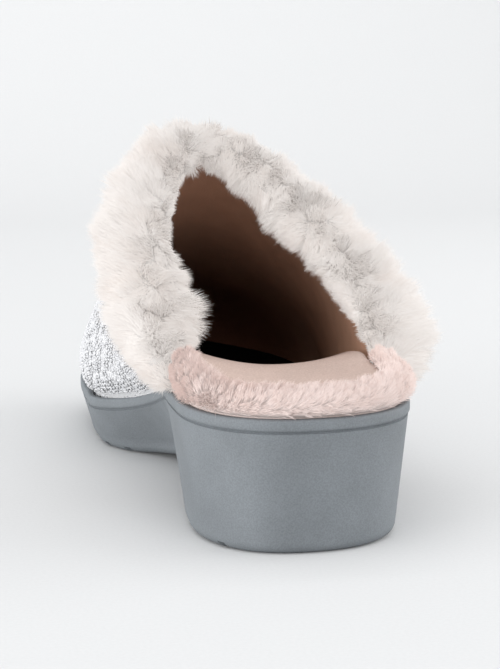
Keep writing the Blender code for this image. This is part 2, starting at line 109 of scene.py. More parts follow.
# Fur skin under the hairs: one row for each place along the cuff, 0 at its inner end and 1 outside
FUR_TABLE = {
    "along": [0.03, 0.060, 0.078, 0.11, 0.16, 0.225, 0.29, 0.38, 0.50, 0.60, 0.72, 0.84, 0.90, 0.94, 0.97],
    "outer": [10.0, 12.5, 13.0, 14.5, 16.5, 17.5, 17.5, 15.5, 10.5, 9.5, 11.0, 17.5, 21.5, 22.0, 18.0],
    "inner": [2.5, 6.5, 12.0, 16.0, 13.0, 3.5, 3.5, 4.5, 7.0, 11.5, 14.5, 8.0, 4.0, 1.2, 1.2],
    "skirt": [33.0, 34.0, 33.0, 31.5, 29.0, 27.0, 25.5, 25.5, 23.0, 24.0, 26.0, 28.0, 28.0, 28.0, 26.0],
    "tuck":  [1.6, 1.6, 8.0, 9.0, 9.0, 8.0, 8.0, 8.0, 8.0, 8.0, 9.0, 8.5, 7.0, 1.6, 1.6],
    "back":  [1.4, 8.0, 10.5, 12.5, 11.0, 9.0, 9.0, 9.0, 8.5, 9.0, 9.5, 11.0, 10.5, 8.0, 1.4],
}

LIP_HEIGHT = 3.4
LIP_WIDTH = 2.2
LIP_PROUD = 0.5
LIP_ROUND = 0.9
GROOVE_DEPTH = 0.9
GROOVE_HEIGHT = 0.9
CUP_DEPTH = 4.0
TREAD_DEPTH = 1.8
TREAD_WIDTH = 2.6
TREAD_FOREFOOT_Y = [146.0 + 10.5 * n for n in range(7)]
TREAD_HEEL_Y = [16.0, 44.0]
KNIT_START = 14.0
GAP = 0.3
LOOSE_GAP = 0.5
SEAT_GAP = 0.7
UPPER_WALL = 2.2
UPPER_OVER_LIP = 1.0
UPPER_COLUMNS = 34
PLUSH_END_Y = 45.0
PLUSH_WIDTH = 4.8
PLUSH_PROUD = 3.4
PLUSH_OVER_SOCK = 2.0
FUR_LINING = 1.2
FUR_OVER_LIP = 0.9
SOCK_THICKNESS = 1.2
FOOTBED_INSET_HEEL = LIP_WIDTH + GAP + PLUSH_WIDTH + GAP
FOOTBED_INSET_FORE = LIP_WIDTH + SEAT_GAP + UPPER_WALL + SEAT_GAP
FOOTBED_INSET_TOE = FOOTBED_INSET_FORE + 4.0
G_HEEL = 0.20
G_TOE = 0.64


CURVES = {}


def curve(table, key, column):
    """A column's keys, values and slopes, worked out once."""
    name = (id(table), column)
    if name not in CURVES:
        keys = np.asarray(table[key], float)
        values = np.asarray(table[column], float)
        slopes = np.gradient(values, keys)
        slopes[0] = (values[1] - values[0]) / (keys[1] - keys[0])
        slopes[-1] = (values[-1] - values[-2]) / (keys[-1] - keys[-2])
        CURVES[name] = [part.tolist() for part in (keys, values, slopes)]
    return CURVES[name]


def read(table, key, column, at):
    """A smooth curve through a table's rows: the value of a column where the key column is at."""
    keys, values, slopes = curve(table, key, column)
    n = min(max(bisect.bisect_left(keys, at) - 1, 0), len(keys) - 2)
    span = keys[n + 1] - keys[n]
    s = (at - keys[n]) / span
    if s < 0:
        return values[n] + slopes[n] * span * s
    if s > 1:
        return values[n + 1] + slopes[n + 1] * span * (s - 1)
    return (
        values[n] * (1 + 2 * s) * (1 - s) ** 2
        + slopes[n] * span * s * (1 - s) ** 2
        + values[n + 1] * s * s * (3 - 2 * s)
        + slopes[n + 1] * span * s * s * (s - 1)
    )


def level(table, column, y):
    return float(read(table, "y", column, min(max(y, table["y"][0]), table["y"][-1])))


def eased(value, start, end):
    share = min(max((value - start) / (end - start), 0.0), 1.0)
    return share * share * (3 - 2 * share)


def row_of(column, row):
    return read(UPPER_TABLE, "row", column, row)


def side_point(g, side):
    """(x, y) of the lip's outer edge on one side, with g from 0 at the heel to 1 at the toe's tip."""
    sign = -1.0 if side == "medial" else 1.0
    toe_y = TOE_START_Y[side]
    if g < G_HEEL:
        turn = math.pi / 2 * g / G_HEEL
        power = 2.0 / ROUND_OF_HEEL
        reach = sign * level(OUTLINE_TABLE, side, HEEL_WIDEST_Y) - HEEL_BACK_X
        return (
            HEEL_BACK_X + reach * math.sin(turn) ** power,
            HEEL_WIDEST_Y * (1 - max(math.cos(turn), 0.0) ** power),
        )
    if g <= G_TOE:
        y = HEEL_WIDEST_Y + (toe_y - HEEL_WIDEST_Y) * (g - G_HEEL) / (G_TOE - G_HEEL)
        return sign * level(OUTLINE_TABLE, side, y), y
    turn = math.pi / 2 * min((g - G_TOE) / (1 - G_TOE), 1.0)
    power = 2.0 / ROUND_OF_TOE[side]
    reach = sign * level(OUTLINE_TABLE, side, toe_y) - TOE_TIP_X
    return (
        TOE_TIP_X + reach * max(math.cos(turn), 0.0) ** power,
        toe_y + (LENGTH - toe_y) * math.sin(turn) ** power,
    )


def outline(g, side, inset=0.0):
    """The outline moved in by inset, square to itself."""
    step = 0.002
    x, y = side_point(g, side)
    if g < step:
        return np.array([x, y + inset])
    if g > 1 - step:
        return np.array([x, y - inset])
    before = np.array(side_point(g - step, side))
    after = np.array(side_point(g + step, side))
    along = (after - before) / np.linalg.norm(after - before)
    sign = 1.0 if side == "medial" else -1.0
    return np.array([x + sign * along[1] * inset, y - sign * along[0] * inset])


def g_at(y, side):
    low, high = 0.0, 1.0
    for _ in range(40):
        middle = (low + high) / 2
        if side_point(middle, side)[1] < y:
            low = middle
        else:
            high = middle
    return (low + high) / 2


def stations(heel, middle, toe):
    return (
        [G_HEEL * n / heel for n in range(heel)]
        + [G_HEEL + (G_TOE - G_HEEL) * n / middle for n in range(middle)]
        + [G_TOE + (1 - G_TOE) * n / toe for n in range(toe + 1)]
    )


def ring(steps, inset, height):
    """Points all round: up the medial side from the heel, and back down the lateral side."""
    points = []
    order = [(g, "medial") for g in steps] + [(g, "lateral") for g in steps[-2:0:-1]]
    for g, side in order:
        y = side_point(g, side)[1]
        x, at_y = outline(g, side, inset(side, y))
        points.append((x, at_y, height(side, y)))
    return points


def ladder(points, count, across, surface):
    """Closes a ring with rungs from each medial point to its lateral partner."""
    half = count // 2
    inner = []
    rungs = []
    for n in range(1, half):
        left, right = points[n], points[count - n]
        rung = [n]
        for k in range(1, across):
            s = k / across
            x = left[0] + (right[0] - left[0]) * s
            y = left[1] + (right[1] - left[1]) * s
            rung.append(count + len(inner))
            inner.append((x, y, surface(left, right, s)))
        rungs.append(rung + [count - n])
    faces = [(0, a, b) for a, b in zip(rungs[0], rungs[0][1:])]
    for low, high in zip(rungs, rungs[1:]):
        for k in range(across):
            faces.append((low[k], high[k], high[k + 1], low[k + 1]))
    faces += [(half, b, a) for a, b in zip(rungs[-1], rungs[-1][1:])]
    return inner, faces


def stack(rings, across, bottom, top):
    """One closed solid from rings, lowest first, closed by a ladder at both ends."""
    count = len(rings[0])
    points = [p for each in rings for p in each]
    faces = []
    for n in range(len(rings) - 1):
        for k in range(count):
            after = (k + 1) % count
            faces.append((n * count + k, n * count + after, (n + 1) * count + after, (n + 1) * count + k))
    for number, surface in ((0, bottom), (len(rings) - 1, top)):
        inner, cap = ladder(rings[number], count, across, surface)
        start = len(points) - count
        first = number * count
        points += inner
        faces += [tuple(first + i if i < count else start + i for i in face) for face in cap]
    return points, faces


def tube(sections):
    """One closed solid from sections that each go once round, with both ends filled."""
    count = len(sections[0])
    points = [tuple(p) for section in sections for p in section]
    faces = []
    for n in range(len(sections) - 1):
        for k in range(count):
            after = (k + 1) % count
            faces.append((n * count + k, n * count + after, (n + 1) * count + after, (n + 1) * count + k))
    faces.append(tuple(range(count)))
    faces.append(tuple(range((len(sections) - 1) * count, len(sections) * count)))
    return points, faces


def underside_z(y):
    """The underside is dead flat where it stands, and never below the floor."""
    return max(level(UNDERSIDE_TABLE, "z", y), 0.0)


def lip_z(y):
    return level(HEIGHT_TABLE, "lip", y)


def cup_z(y):
    return lip_z(y) - CUP_DEPTH


def sock_z(left, right, s, lift=0.0):
    y = left[1] + (right[1] - left[1]) * s
    across = 2 * s - 1
    rise = level(HEIGHT_TABLE, "rise_medial" if across < 0 else "rise_lateral", y)
    return level(HEIGHT_TABLE, "sock", y) + rise * across * across + lift


BASE_TABLE = {
    side: [g_at(y, side) if y < 238 else 1.0 for y in UPPER_TABLE["base_y"]]
    for side in ("medial", "lateral")
}
BASE_TABLE["row"] = UPPER_TABLE["row"]


def base_point(row, side, out):
    g = min(read(BASE_TABLE, "row", side, row), 1.0)
    x, y = outline(g, side, LIP_WIDTH + SEAT_GAP - out)
    return np.array([x, y, cup_z(side_point(g, side)[1]) + GAP])


def ridge_point(row, out):
    step = 0.05
    here = np.array([row_of("ridge_y", row), row_of("ridge_z", row)])
    before = np.array([row_of("ridge_y", row - step), row_of("ridge_z", row - step)])
    after = np.array([row_of("ridge_y", row + step), row_of("ridge_z", row + step)])
    along = (after - before) / np.linalg.norm(after - before)
    y, z = here + out * np.array([-along[1], along[0]])
    return np.array([row_of("ridge_x", row), y, z])


class Section:
    """One cross section of the upper's form, moved out by out: a point for each place along it."""

    def __init__(self, row, out):
        self.row = row
        self.ridge = ridge_point(row, out)
        self.side = {}
        for side in ("medial", "lateral"):
            base = base_point(row, side, out)
            power = 2.0 / row_of("round_" + side, row)
            hidden = (CUP_DEPTH + UPPER_OVER_LIP) / max(self.ridge[2] - base[2], 12.0)
            low = math.asin(hidden ** (1 / power))
            self.side[side] = (base, power, hidden, low, row_of("belly_" + side, row))

    def at(self, along):
        side = "medial" if along < 0.5 else "lateral"
        base, power, hidden, low, belly = self.side[side]
        ridge = self.ridge
        share = 1 - abs(2 * along - 1)
        foot = 2 / UPPER_COLUMNS
        if share < foot:
            turn = low * share / foot
        else:
            turn = low + (math.pi / 2 - low) * (share - foot) / (1 - foot)
        rise = math.sin(turn) ** power
        reach = max(math.cos(turn), 0.0) ** power
        sign = -1.0 if side == "medial" else 1.0
        above = max(rise - hidden, 0.0) / (1 - hidden)
        swell = 0.7 - (0.22 * eased(self.row, 2.0, 4.5) if side == "medial" else 0.0)
        x = ridge[0] + (base[0] - ridge[0]) * reach
        x += sign * belly * math.sin(math.pi * above ** swell)
        y = base[1] + (ridge[1] - base[1]) * above
        z = base[2] + (ridge[2] - base[2]) * rise
        return np.array([x, y, z])


class Form:
    """The upper's form on a fine grid, read between its points."""

    def __init__(self, out, first=-1.6, last=10.0, rows=117, columns=100):
        self.first, self.last, self.rows, self.columns = first, last, rows, columns
        grid = []
        for n in range(rows):
            section = Section(first + (last - first) * n / (rows - 1), out)
            grid.append([section.at(k / columns) for k in range(columns + 1)])
        self.grid = np.array(grid)

    def at(self, row, along):
        r = np.clip((row - self.first) / (self.last - self.first) * (self.rows - 1), 0, self.rows - 1.001)
        c = np.clip(along * self.columns, 0, self.columns - 0.001)
        i, j = int(r), int(c)
        u, v = r - i, c - j
        g = self.grid
        low = g[i, j] * (1 - v) + g[i, j + 1] * v
        high = g[i + 1, j] * (1 - v) + g[i + 1, j + 1] * v
        return low * (1 - u) + high * u


# Mesh, material and node helpers


def linear(code):
    """An sRGB hex colour as linear red, green, blue and full alpha."""
    parts = [int(code[n : n + 2], 16) / 255 for n in (1, 3, 5)]
    made = [c / 12.92 if c <= 0.04045 else ((c + 0.055) / 1.055) ** 2.4 for c in parts]
    return (*made, 1.0)


def shade(colour, share):
    """A linear colour made darker or lighter, with full alpha."""
    return (*(min(c * share, 1.0) for c in colour[:3]), 1.0)


def add_node(tree, kind, values=None, links=None, **settings):
    """Adds one node with its settings, the values of its inputs, and the sockets linked into it."""
    made = tree.nodes.new(kind)
    for key, value in settings.items():
        setattr(made, key, value)
    for key, value in (values or {}).items():
        made.inputs[key].default_value = value
    for key, source in (links or {}).items():
        tree.links.new(source, made.inputs[key])
    return made


def new_material(name, roughness, **sockets):
    """A material with one Principled shader: its tree and the shader are returned with it."""
    material = bpy.data.materials.new(name)
    material.use_nodes = True
    tree = material.node_tree
    shader = tree.nodes["Principled BSDF"]
    shader.inputs["Roughness"].default_value = roughness
    for key, value in sockets.items():
        shader.inputs[key.replace("_", " ")].default_value = value
    return material, tree, shader


def add_ramp(tree, source, stops):
    """A colour ramp on a value, with stops of (place, hex colour or linear colour)."""
    made = add_node(tree, "ShaderNodeValToRGB", links={"Fac": source})
    ramp = made.color_ramp
    while len(ramp.elements) < len(stops):
        ramp.elements.new(0.5)
    for element, (place, colour) in zip(ramp.elements, stops):
        element.position = place
        element.color = linear(colour) if isinstance(colour, str) else colour
    return made.outputs["Color"]


def add_piece(name, points, faces, materials=(), crease=35.0, numbers=None):
    """Makes an object in the model's frame, closed and facing out, from points in millimetres."""
    mesh = bpy.data.meshes.new(name)
    moved = [(x * MM, (y - HEEL_REST_Y) * MM, z * MM) for x, y, z in points]
    mesh.from_pydata(moved, [], faces)
    if numbers:
        mesh.polygons.foreach_set("material_index", numbers)
    shape = bmesh.new()
    shape.from_mesh(mesh)
    bmesh.ops.recalc_face_normals(shape, faces=shape.faces)
    shape.to_mesh(mesh)
    shape.free()
    mesh.shade_smooth()
    mesh.set_sharp_from_angle(angle=math.radians(crease))
    for material in materials:
        mesh.materials.append(material)
    made = bpy.data.objects.new(name, mesh)
    bpy.context.scene.collection.objects.link(made)
    return made


def plain_mesh(made, name, materials):
    """Turns the evaluated object into a plain mesh in a new object, and removes the old one."""
    graph = bpy.context.evaluated_depsgraph_get()
    mesh = bpy.data.meshes.new_from_object(made.evaluated_get(graph), depsgraph=graph)
    mesh.name = name
    old = made.data
    bpy.data.objects.remove(made)
    if isinstance(old, bpy.types.Mesh):
        bpy.data.meshes.remove(old)
    mesh.materials.clear()
    for material in materials:
        mesh.materials.append(material)
    piece = bpy.data.objects.new(name, mesh)
    bpy.context.scene.collection.objects.link(piece)
    return piece


def set_vectors(mesh, name, values):
    layer = mesh.attributes.new(name, "FLOAT_VECTOR", "POINT")
    layer.data.foreach_set("vector", np.asarray(values, np.float32).ravel())


def set_floats(mesh, name, values):
    layer = mesh.attributes.new(name, "FLOAT", "POINT")
    layer.data.foreach_set("value", np.asarray(values, np.float32).ravel())


def unit(vectors):
    vectors = np.asarray(vectors, float)
    lengths = np.linalg.norm(vectors, axis=-1, keepdims=True)
    return vectors / np.maximum(lengths, 1e-9)


# Finishes


def moulded_foam(looks):
    """Injection-moulded polyurethane foam: a closed skin, matte, with the mould's fine blasted grain."""
    material, tree, shader = new_material("moulded polyurethane foam", 0.62)
    shader.inputs["Specular IOR Level"].default_value = 0.35
    place = add_node(tree, "ShaderNodeTexCoord").outputs["Object"]
    # cloudy flow marks a few centimetres long, only just seen
    cloud = add_node(tree, "ShaderNodeTexNoise", {"Scale": 38.0, "Detail": 3.0}, {"Vector": place})
    tone = add_ramp(tree, cloud.outputs["Fac"], [(0.30, shade(looks.sole_colour, 0.88)), (0.70, shade(looks.sole_colour, 1.11))])
    # grain of 0.45 mm from the blasted mould, and rare 2 mm dimples
    grain = add_node(tree, "ShaderNodeTexNoise", {"Scale": 2200.0, "Detail": 2.0}, {"Vector": place})
    speck = add_ramp(tree, grain.outputs["Fac"], [(0.35, "#e9e9e9"), (0.65, "#ffffff")])
    mixed = add_node(tree, "ShaderNodeMix", {0: 1.0}, {6: tone, 7: speck}, data_type="RGBA", blend_type="MULTIPLY")
    tree.links.new(mixed.outputs[2], shader.inputs["Base Color"])
    broad = add_node(tree, "ShaderNodeTexNoise", {"Scale": 420.0, "Detail": 2.0}, {"Vector": place})
    both = add_node(tree, "ShaderNodeMath", {1: 0.7}, {0: grain.outputs["Fac"], 2: broad.outputs["Fac"]}, operation="MULTIPLY_ADD")
    bump = add_node(tree, "ShaderNodeBump", {"Strength": looks.grain, "Distance": 0.00012}, {"Height": both.outputs[0]})
    tree.links.new(bump.outputs["Normal"], shader.inputs["Normal"])
    return material


def micro_suede(looks):
    """Microfibre suede: a very short nap on a fine cloth, soft and without gloss, brushed in patches."""
    material, tree, shader = new_material("microfibre suede", 0.92)
    shader.inputs["Specular IOR Level"].default_value = 0.1
    shader.inputs["Sheen Roughness"].default_value = 0.5
    shader.inputs["Sheen Tint"].default_value = linear("#ffe9e0")
    place = add_node(tree, "ShaderNodeTexCoord").outputs["Object"]
    brushed = add_node(tree, "ShaderNodeTexNoise", {"Scale": 70.0, "Detail": 4.0, "Distortion": 0.6}, {"Vector": place})
    unshaded_tone = add_ramp(tree, brushed.outputs["Fac"], [(0.30, shade(looks.suede_colour, 0.94)), (0.70, shade(looks.suede_colour, 1.07))])
    # painted shade: the suede is painted nearly black from the arch to the toe, where the upper shades the insole
    depth = add_node(tree, "ShaderNodeSeparateXYZ", links={"Vector": place})
    painted_shade_mask = add_node(
        tree,
        "ShaderNodeMapRange",
        {"From Min": 0.034, "From Max": 0.085},
        {"Value": depth.outputs["Y"]},
        interpolation_type="SMOOTHSTEP",
    )
    # this mix paints that shade, blending the suede towards a near black deeper in the shoe
    tread = add_node(
        tree, "ShaderNodeMix", {7: shade(looks.suede_colour, 0.012)}, {0: painted_shade_mask.outputs[0], 6: unshaded_tone}, data_type="RGBA"
    )
    tone = tread.outputs[2]
    # painted shade as well: the sheen fades out over the same stretch, so that the shaded suede stays dark
    nap_sheen = add_node(
        tree,
        "ShaderNodeMapRange",
        {"From Min": 0.034, "From Max": 0.085, "To Min": 0.35, "To Max": 0.0},
        {"Value": depth.outputs["Y"]},
    )
    tree.links.new(nap_sheen.outputs[0], shader.inputs["Sheen Weight"])
    # nap of about 0.5 mm tufts, drawn coarser than the real 0.1 mm so that it shows
    nap = add_node(tree, "ShaderNodeTexNoise", {"Scale": 1900.0, "Detail": 3.0}, {"Vector": place})
    speck = add_ramp(tree, nap.outputs["Fac"], [(0.32, "#e4dedb"), (0.66, "#ffffff")])
    mixed = add_node(tree, "ShaderNodeMix", {0: 1.0}, {6: tone, 7: speck}, data_type="RGBA", blend_type="MULTIPLY")
    tree.links.new(mixed.outputs[2], shader.inputs["Base Color"])
    bump = add_node(tree, "ShaderNodeBump", {"Strength": 0.5, "Distance": 0.00018}, {"Height": nap.outputs["Fac"]})
    tree.links.new(bump.outputs["Normal"], shader.inputs["Normal"])
    return material


def brushed_lining(looks):
    """Brushed polyester tricot: a dull dark brown cloth with a faint nap."""
    material, tree, shader = new_material("brushed tricot lining", 0.9)
    shader.inputs["Specular IOR Level"].default_value = 0.2
    shader.inputs["Sheen Weight"].default_value = 0.25
    shader.inputs["Sheen Roughness"].default_value = 0.4
    shader.inputs["Sheen Tint"].default_value = linear("#8a6249")
    place = add_node(tree, "ShaderNodeTexCoord").outputs["Object"]
    cloud = add_node(tree, "ShaderNodeTexNoise", {"Scale": 55.0, "Detail": 4.0}, {"Vector": place})
    # painted shade: the lining is painted a darker brown from the instep down to the toe, deep in the shoe where light
    # hardly reaches
    depth = add_node(tree, "ShaderNodeSeparateXYZ", links={"Vector": place})
    painted_shade_mask = add_node(
        tree,
        "ShaderNodeMapRange",
        {"From Min": 0.105, "From Max": 0.180},
        {"Value": depth.outputs["Y"]},
        interpolation_type="SMOOTHSTEP",
    )
    # flat holds the darker brown painted in as shade towards the toe
    brown, flat = looks.lining_colour, looks.lining_shade_colour
    unshaded_tone = add_ramp(tree, cloud.outputs["Fac"], [(0.30, shade(brown, 0.87)), (0.72, shade(brown, 1.13))])
    painted_shade_tone = add_ramp(tree, cloud.outputs["Fac"], [(0.30, shade(flat, 0.87)), (0.72, shade(flat, 1.13))])
    tone = add_node(
        tree, "ShaderNodeMix", links={0: painted_shade_mask.outputs[0], 6: unshaded_tone, 7: painted_shade_tone}, data_type="RGBA"
    )
    tree.links.new(tone.outputs[2], shader.inputs["Base Color"])
    nap = add_node(tree, "ShaderNodeTexNoise", {"Scale": 1500.0, "Detail": 3.0}, {"Vector": place})
    bump = add_node(tree, "ShaderNodeBump", {"Strength": 0.6, "Distance": 0.0002}, {"Height": nap.outputs["Fac"]})
    tree.links.new(bump.outputs["Normal"], shader.inputs["Normal"])
    return material


def knit_ground(looks):
    """The ground of the knit, seen only as the shaded hollows between its loops."""
    material, tree, shader = new_material("knit ground", 0.95)
    shader.inputs["Specular IOR Level"].default_value = 0.1
    place = add_node(tree, "ShaderNodeTexCoord").outputs["Object"]
    fleck = add_node(tree, "ShaderNodeTexNoise", {"Scale": 500.0, "Detail": 2.0}, {"Vector": place})
    tone = add_ramp(tree, fleck.outputs["Fac"], [(0.35, shade(looks.yarn_colour, 0.9)), (0.65, looks.yarn_colour)])
    tree.links.new(tone, shader.inputs["Base Color"])
    return material


def chunky_yarn(looks):
    """Spun acrylic yarn in two tones: matt and pale, with grey flecks from its second ply."""
    material, tree, shader = new_material("two-tone acrylic yarn", 0.9)
    shader.inputs["Specular IOR Level"].default_value = 0.2
    shader.inputs["Sheen Weight"].default_value = 0.3
    shader.inputs["Sheen Roughness"].default_value = 0.5
    tint = add_node(tree, "ShaderNodeAttribute", attribute_name="tint").outputs["Fac"]
    tone = add_ramp(
        tree, tint, [(0.0, shade(looks.yarn_colour, 0.70)), (0.09, shade(looks.yarn_colour, 0.88)), (0.2, looks.yarn_colour), (1.0, shade(looks.yarn_colour, 1.1))]
    )
    place = add_node(tree, "ShaderNodeTexCoord").outputs["Object"]
    ply = add_node(tree, "ShaderNodeTexNoise", {"Scale": 1400.0, "Detail": 3.0}, {"Vector": place})
    speck = add_ramp(tree, ply.outputs["Fac"], [(0.30, "#e2e3e6"), (0.62, "#ffffff")])
    mixed = add_node(tree, "ShaderNodeMix", {0: 1.0}, {6: tone, 7: speck}, data_type="RGBA", blend_type="MULTIPLY")
    tree.links.new(mixed.outputs[2], shader.inputs["Base Color"])
    bump = add_node(tree, "ShaderNodeBump", {"Strength": 0.6, "Distance": 0.0002}, {"Height": ply.outputs["Fac"]})
    tree.links.new(bump.outputs["Normal"], shader.inputs["Normal"])
    return material


def pile(name, colour, root, warm, sheen, glow, glow_power):
    """A hair material: colour from root to tip, with a tint for each hair and each tuft."""
    material, tree, shader = new_material(name, 0.75)
    shader.inputs["Specular IOR Level"].default_value = 0.25
    # painted light: the hairs glow evenly, standing in for the light that pale fibres pass on to each other, which
    # blades without thickness would lose
    shader.inputs["Emission Color"].default_value = linear(glow)
    shader.inputs["Emission Strength"].default_value = glow_power
    shader.inputs["Sheen Weight"].default_value = sheen
    shader.inputs["Sheen Roughness"].default_value = 0.4
    along = add_node(tree, "ShaderNodeAttribute", attribute_name="hair").outputs["Fac"]
    tint = add_node(tree, "ShaderNodeAttribute", attribute_name="tint").outputs["Fac"]
    # painted shade: each hair is painted darker towards its root, where the pile shades itself
    shaft = add_ramp(tree, along, [(0.0, shade(colour, root)), (0.55, shade(colour, 1.06)), (1.0, shade(colour, 1.06))])
    tuft = add_ramp(tree, tint, [(0.0, warm), (0.6, "#ffffff"), (1.0, "#ffffff")])
    mixed = add_node(tree, "ShaderNodeMix", {0: 1.0}, {6: shaft, 7: tuft}, data_type="RGBA", blend_type="MULTIPLY")
    tree.links.new(mixed.outputs[2], shader.inputs["Base Color"])
    return material


def pile_skin(name, colour):
    """The woven backing that the pile is rooted in, nearly hidden."""
    material, tree, shader = new_material(name, 0.95)
    shader.inputs["Specular IOR Level"].default_value = 0.1
    place = add_node(tree, "ShaderNodeTexCoord").outputs["Object"]
    weave = add_node(tree, "ShaderNodeTexNoise", {"Scale": 700.0, "Detail": 3.0}, {"Vector": place})
    tone = add_ramp(tree, weave.outputs["Fac"], [(0.3, shade(colour, 0.92)), (0.7, shade(colour, 1.08))])
    tree.links.new(tone, shader.inputs["Base Color"])
    return material


# Geometry Nodes


def new_tree(name, inputs):
    """An empty geometry tree with its named inputs, and its group input and output nodes."""
    tree = bpy.data.node_groups.new(name, "GeometryNodeTree")
    tree.interface.new_socket("Geometry", in_out="INPUT", socket_type="NodeSocketGeometry")
    for label, kind in inputs:
        tree.interface.new_socket(label, in_out="INPUT", socket_type=kind)
    tree.interface.new_socket("Geometry", in_out="OUTPUT", socket_type="NodeSocketGeometry")
    return tree, add_node(tree, "NodeGroupInput"), add_node(tree, "NodeGroupOutput")


def run_tree(made, tree, values):
    """Puts a tree on an object and sets its inputs by their identifiers."""
    modifier = made.modifiers.new(tree.name, "NODES")
    modifier.node_group = tree
    for item in tree.interface.items_tree:
        if item.item_type == "SOCKET" and item.in_out == "INPUT" and item.name in values:
            modifier[item.identifier] = values[item.name]
    return modifier


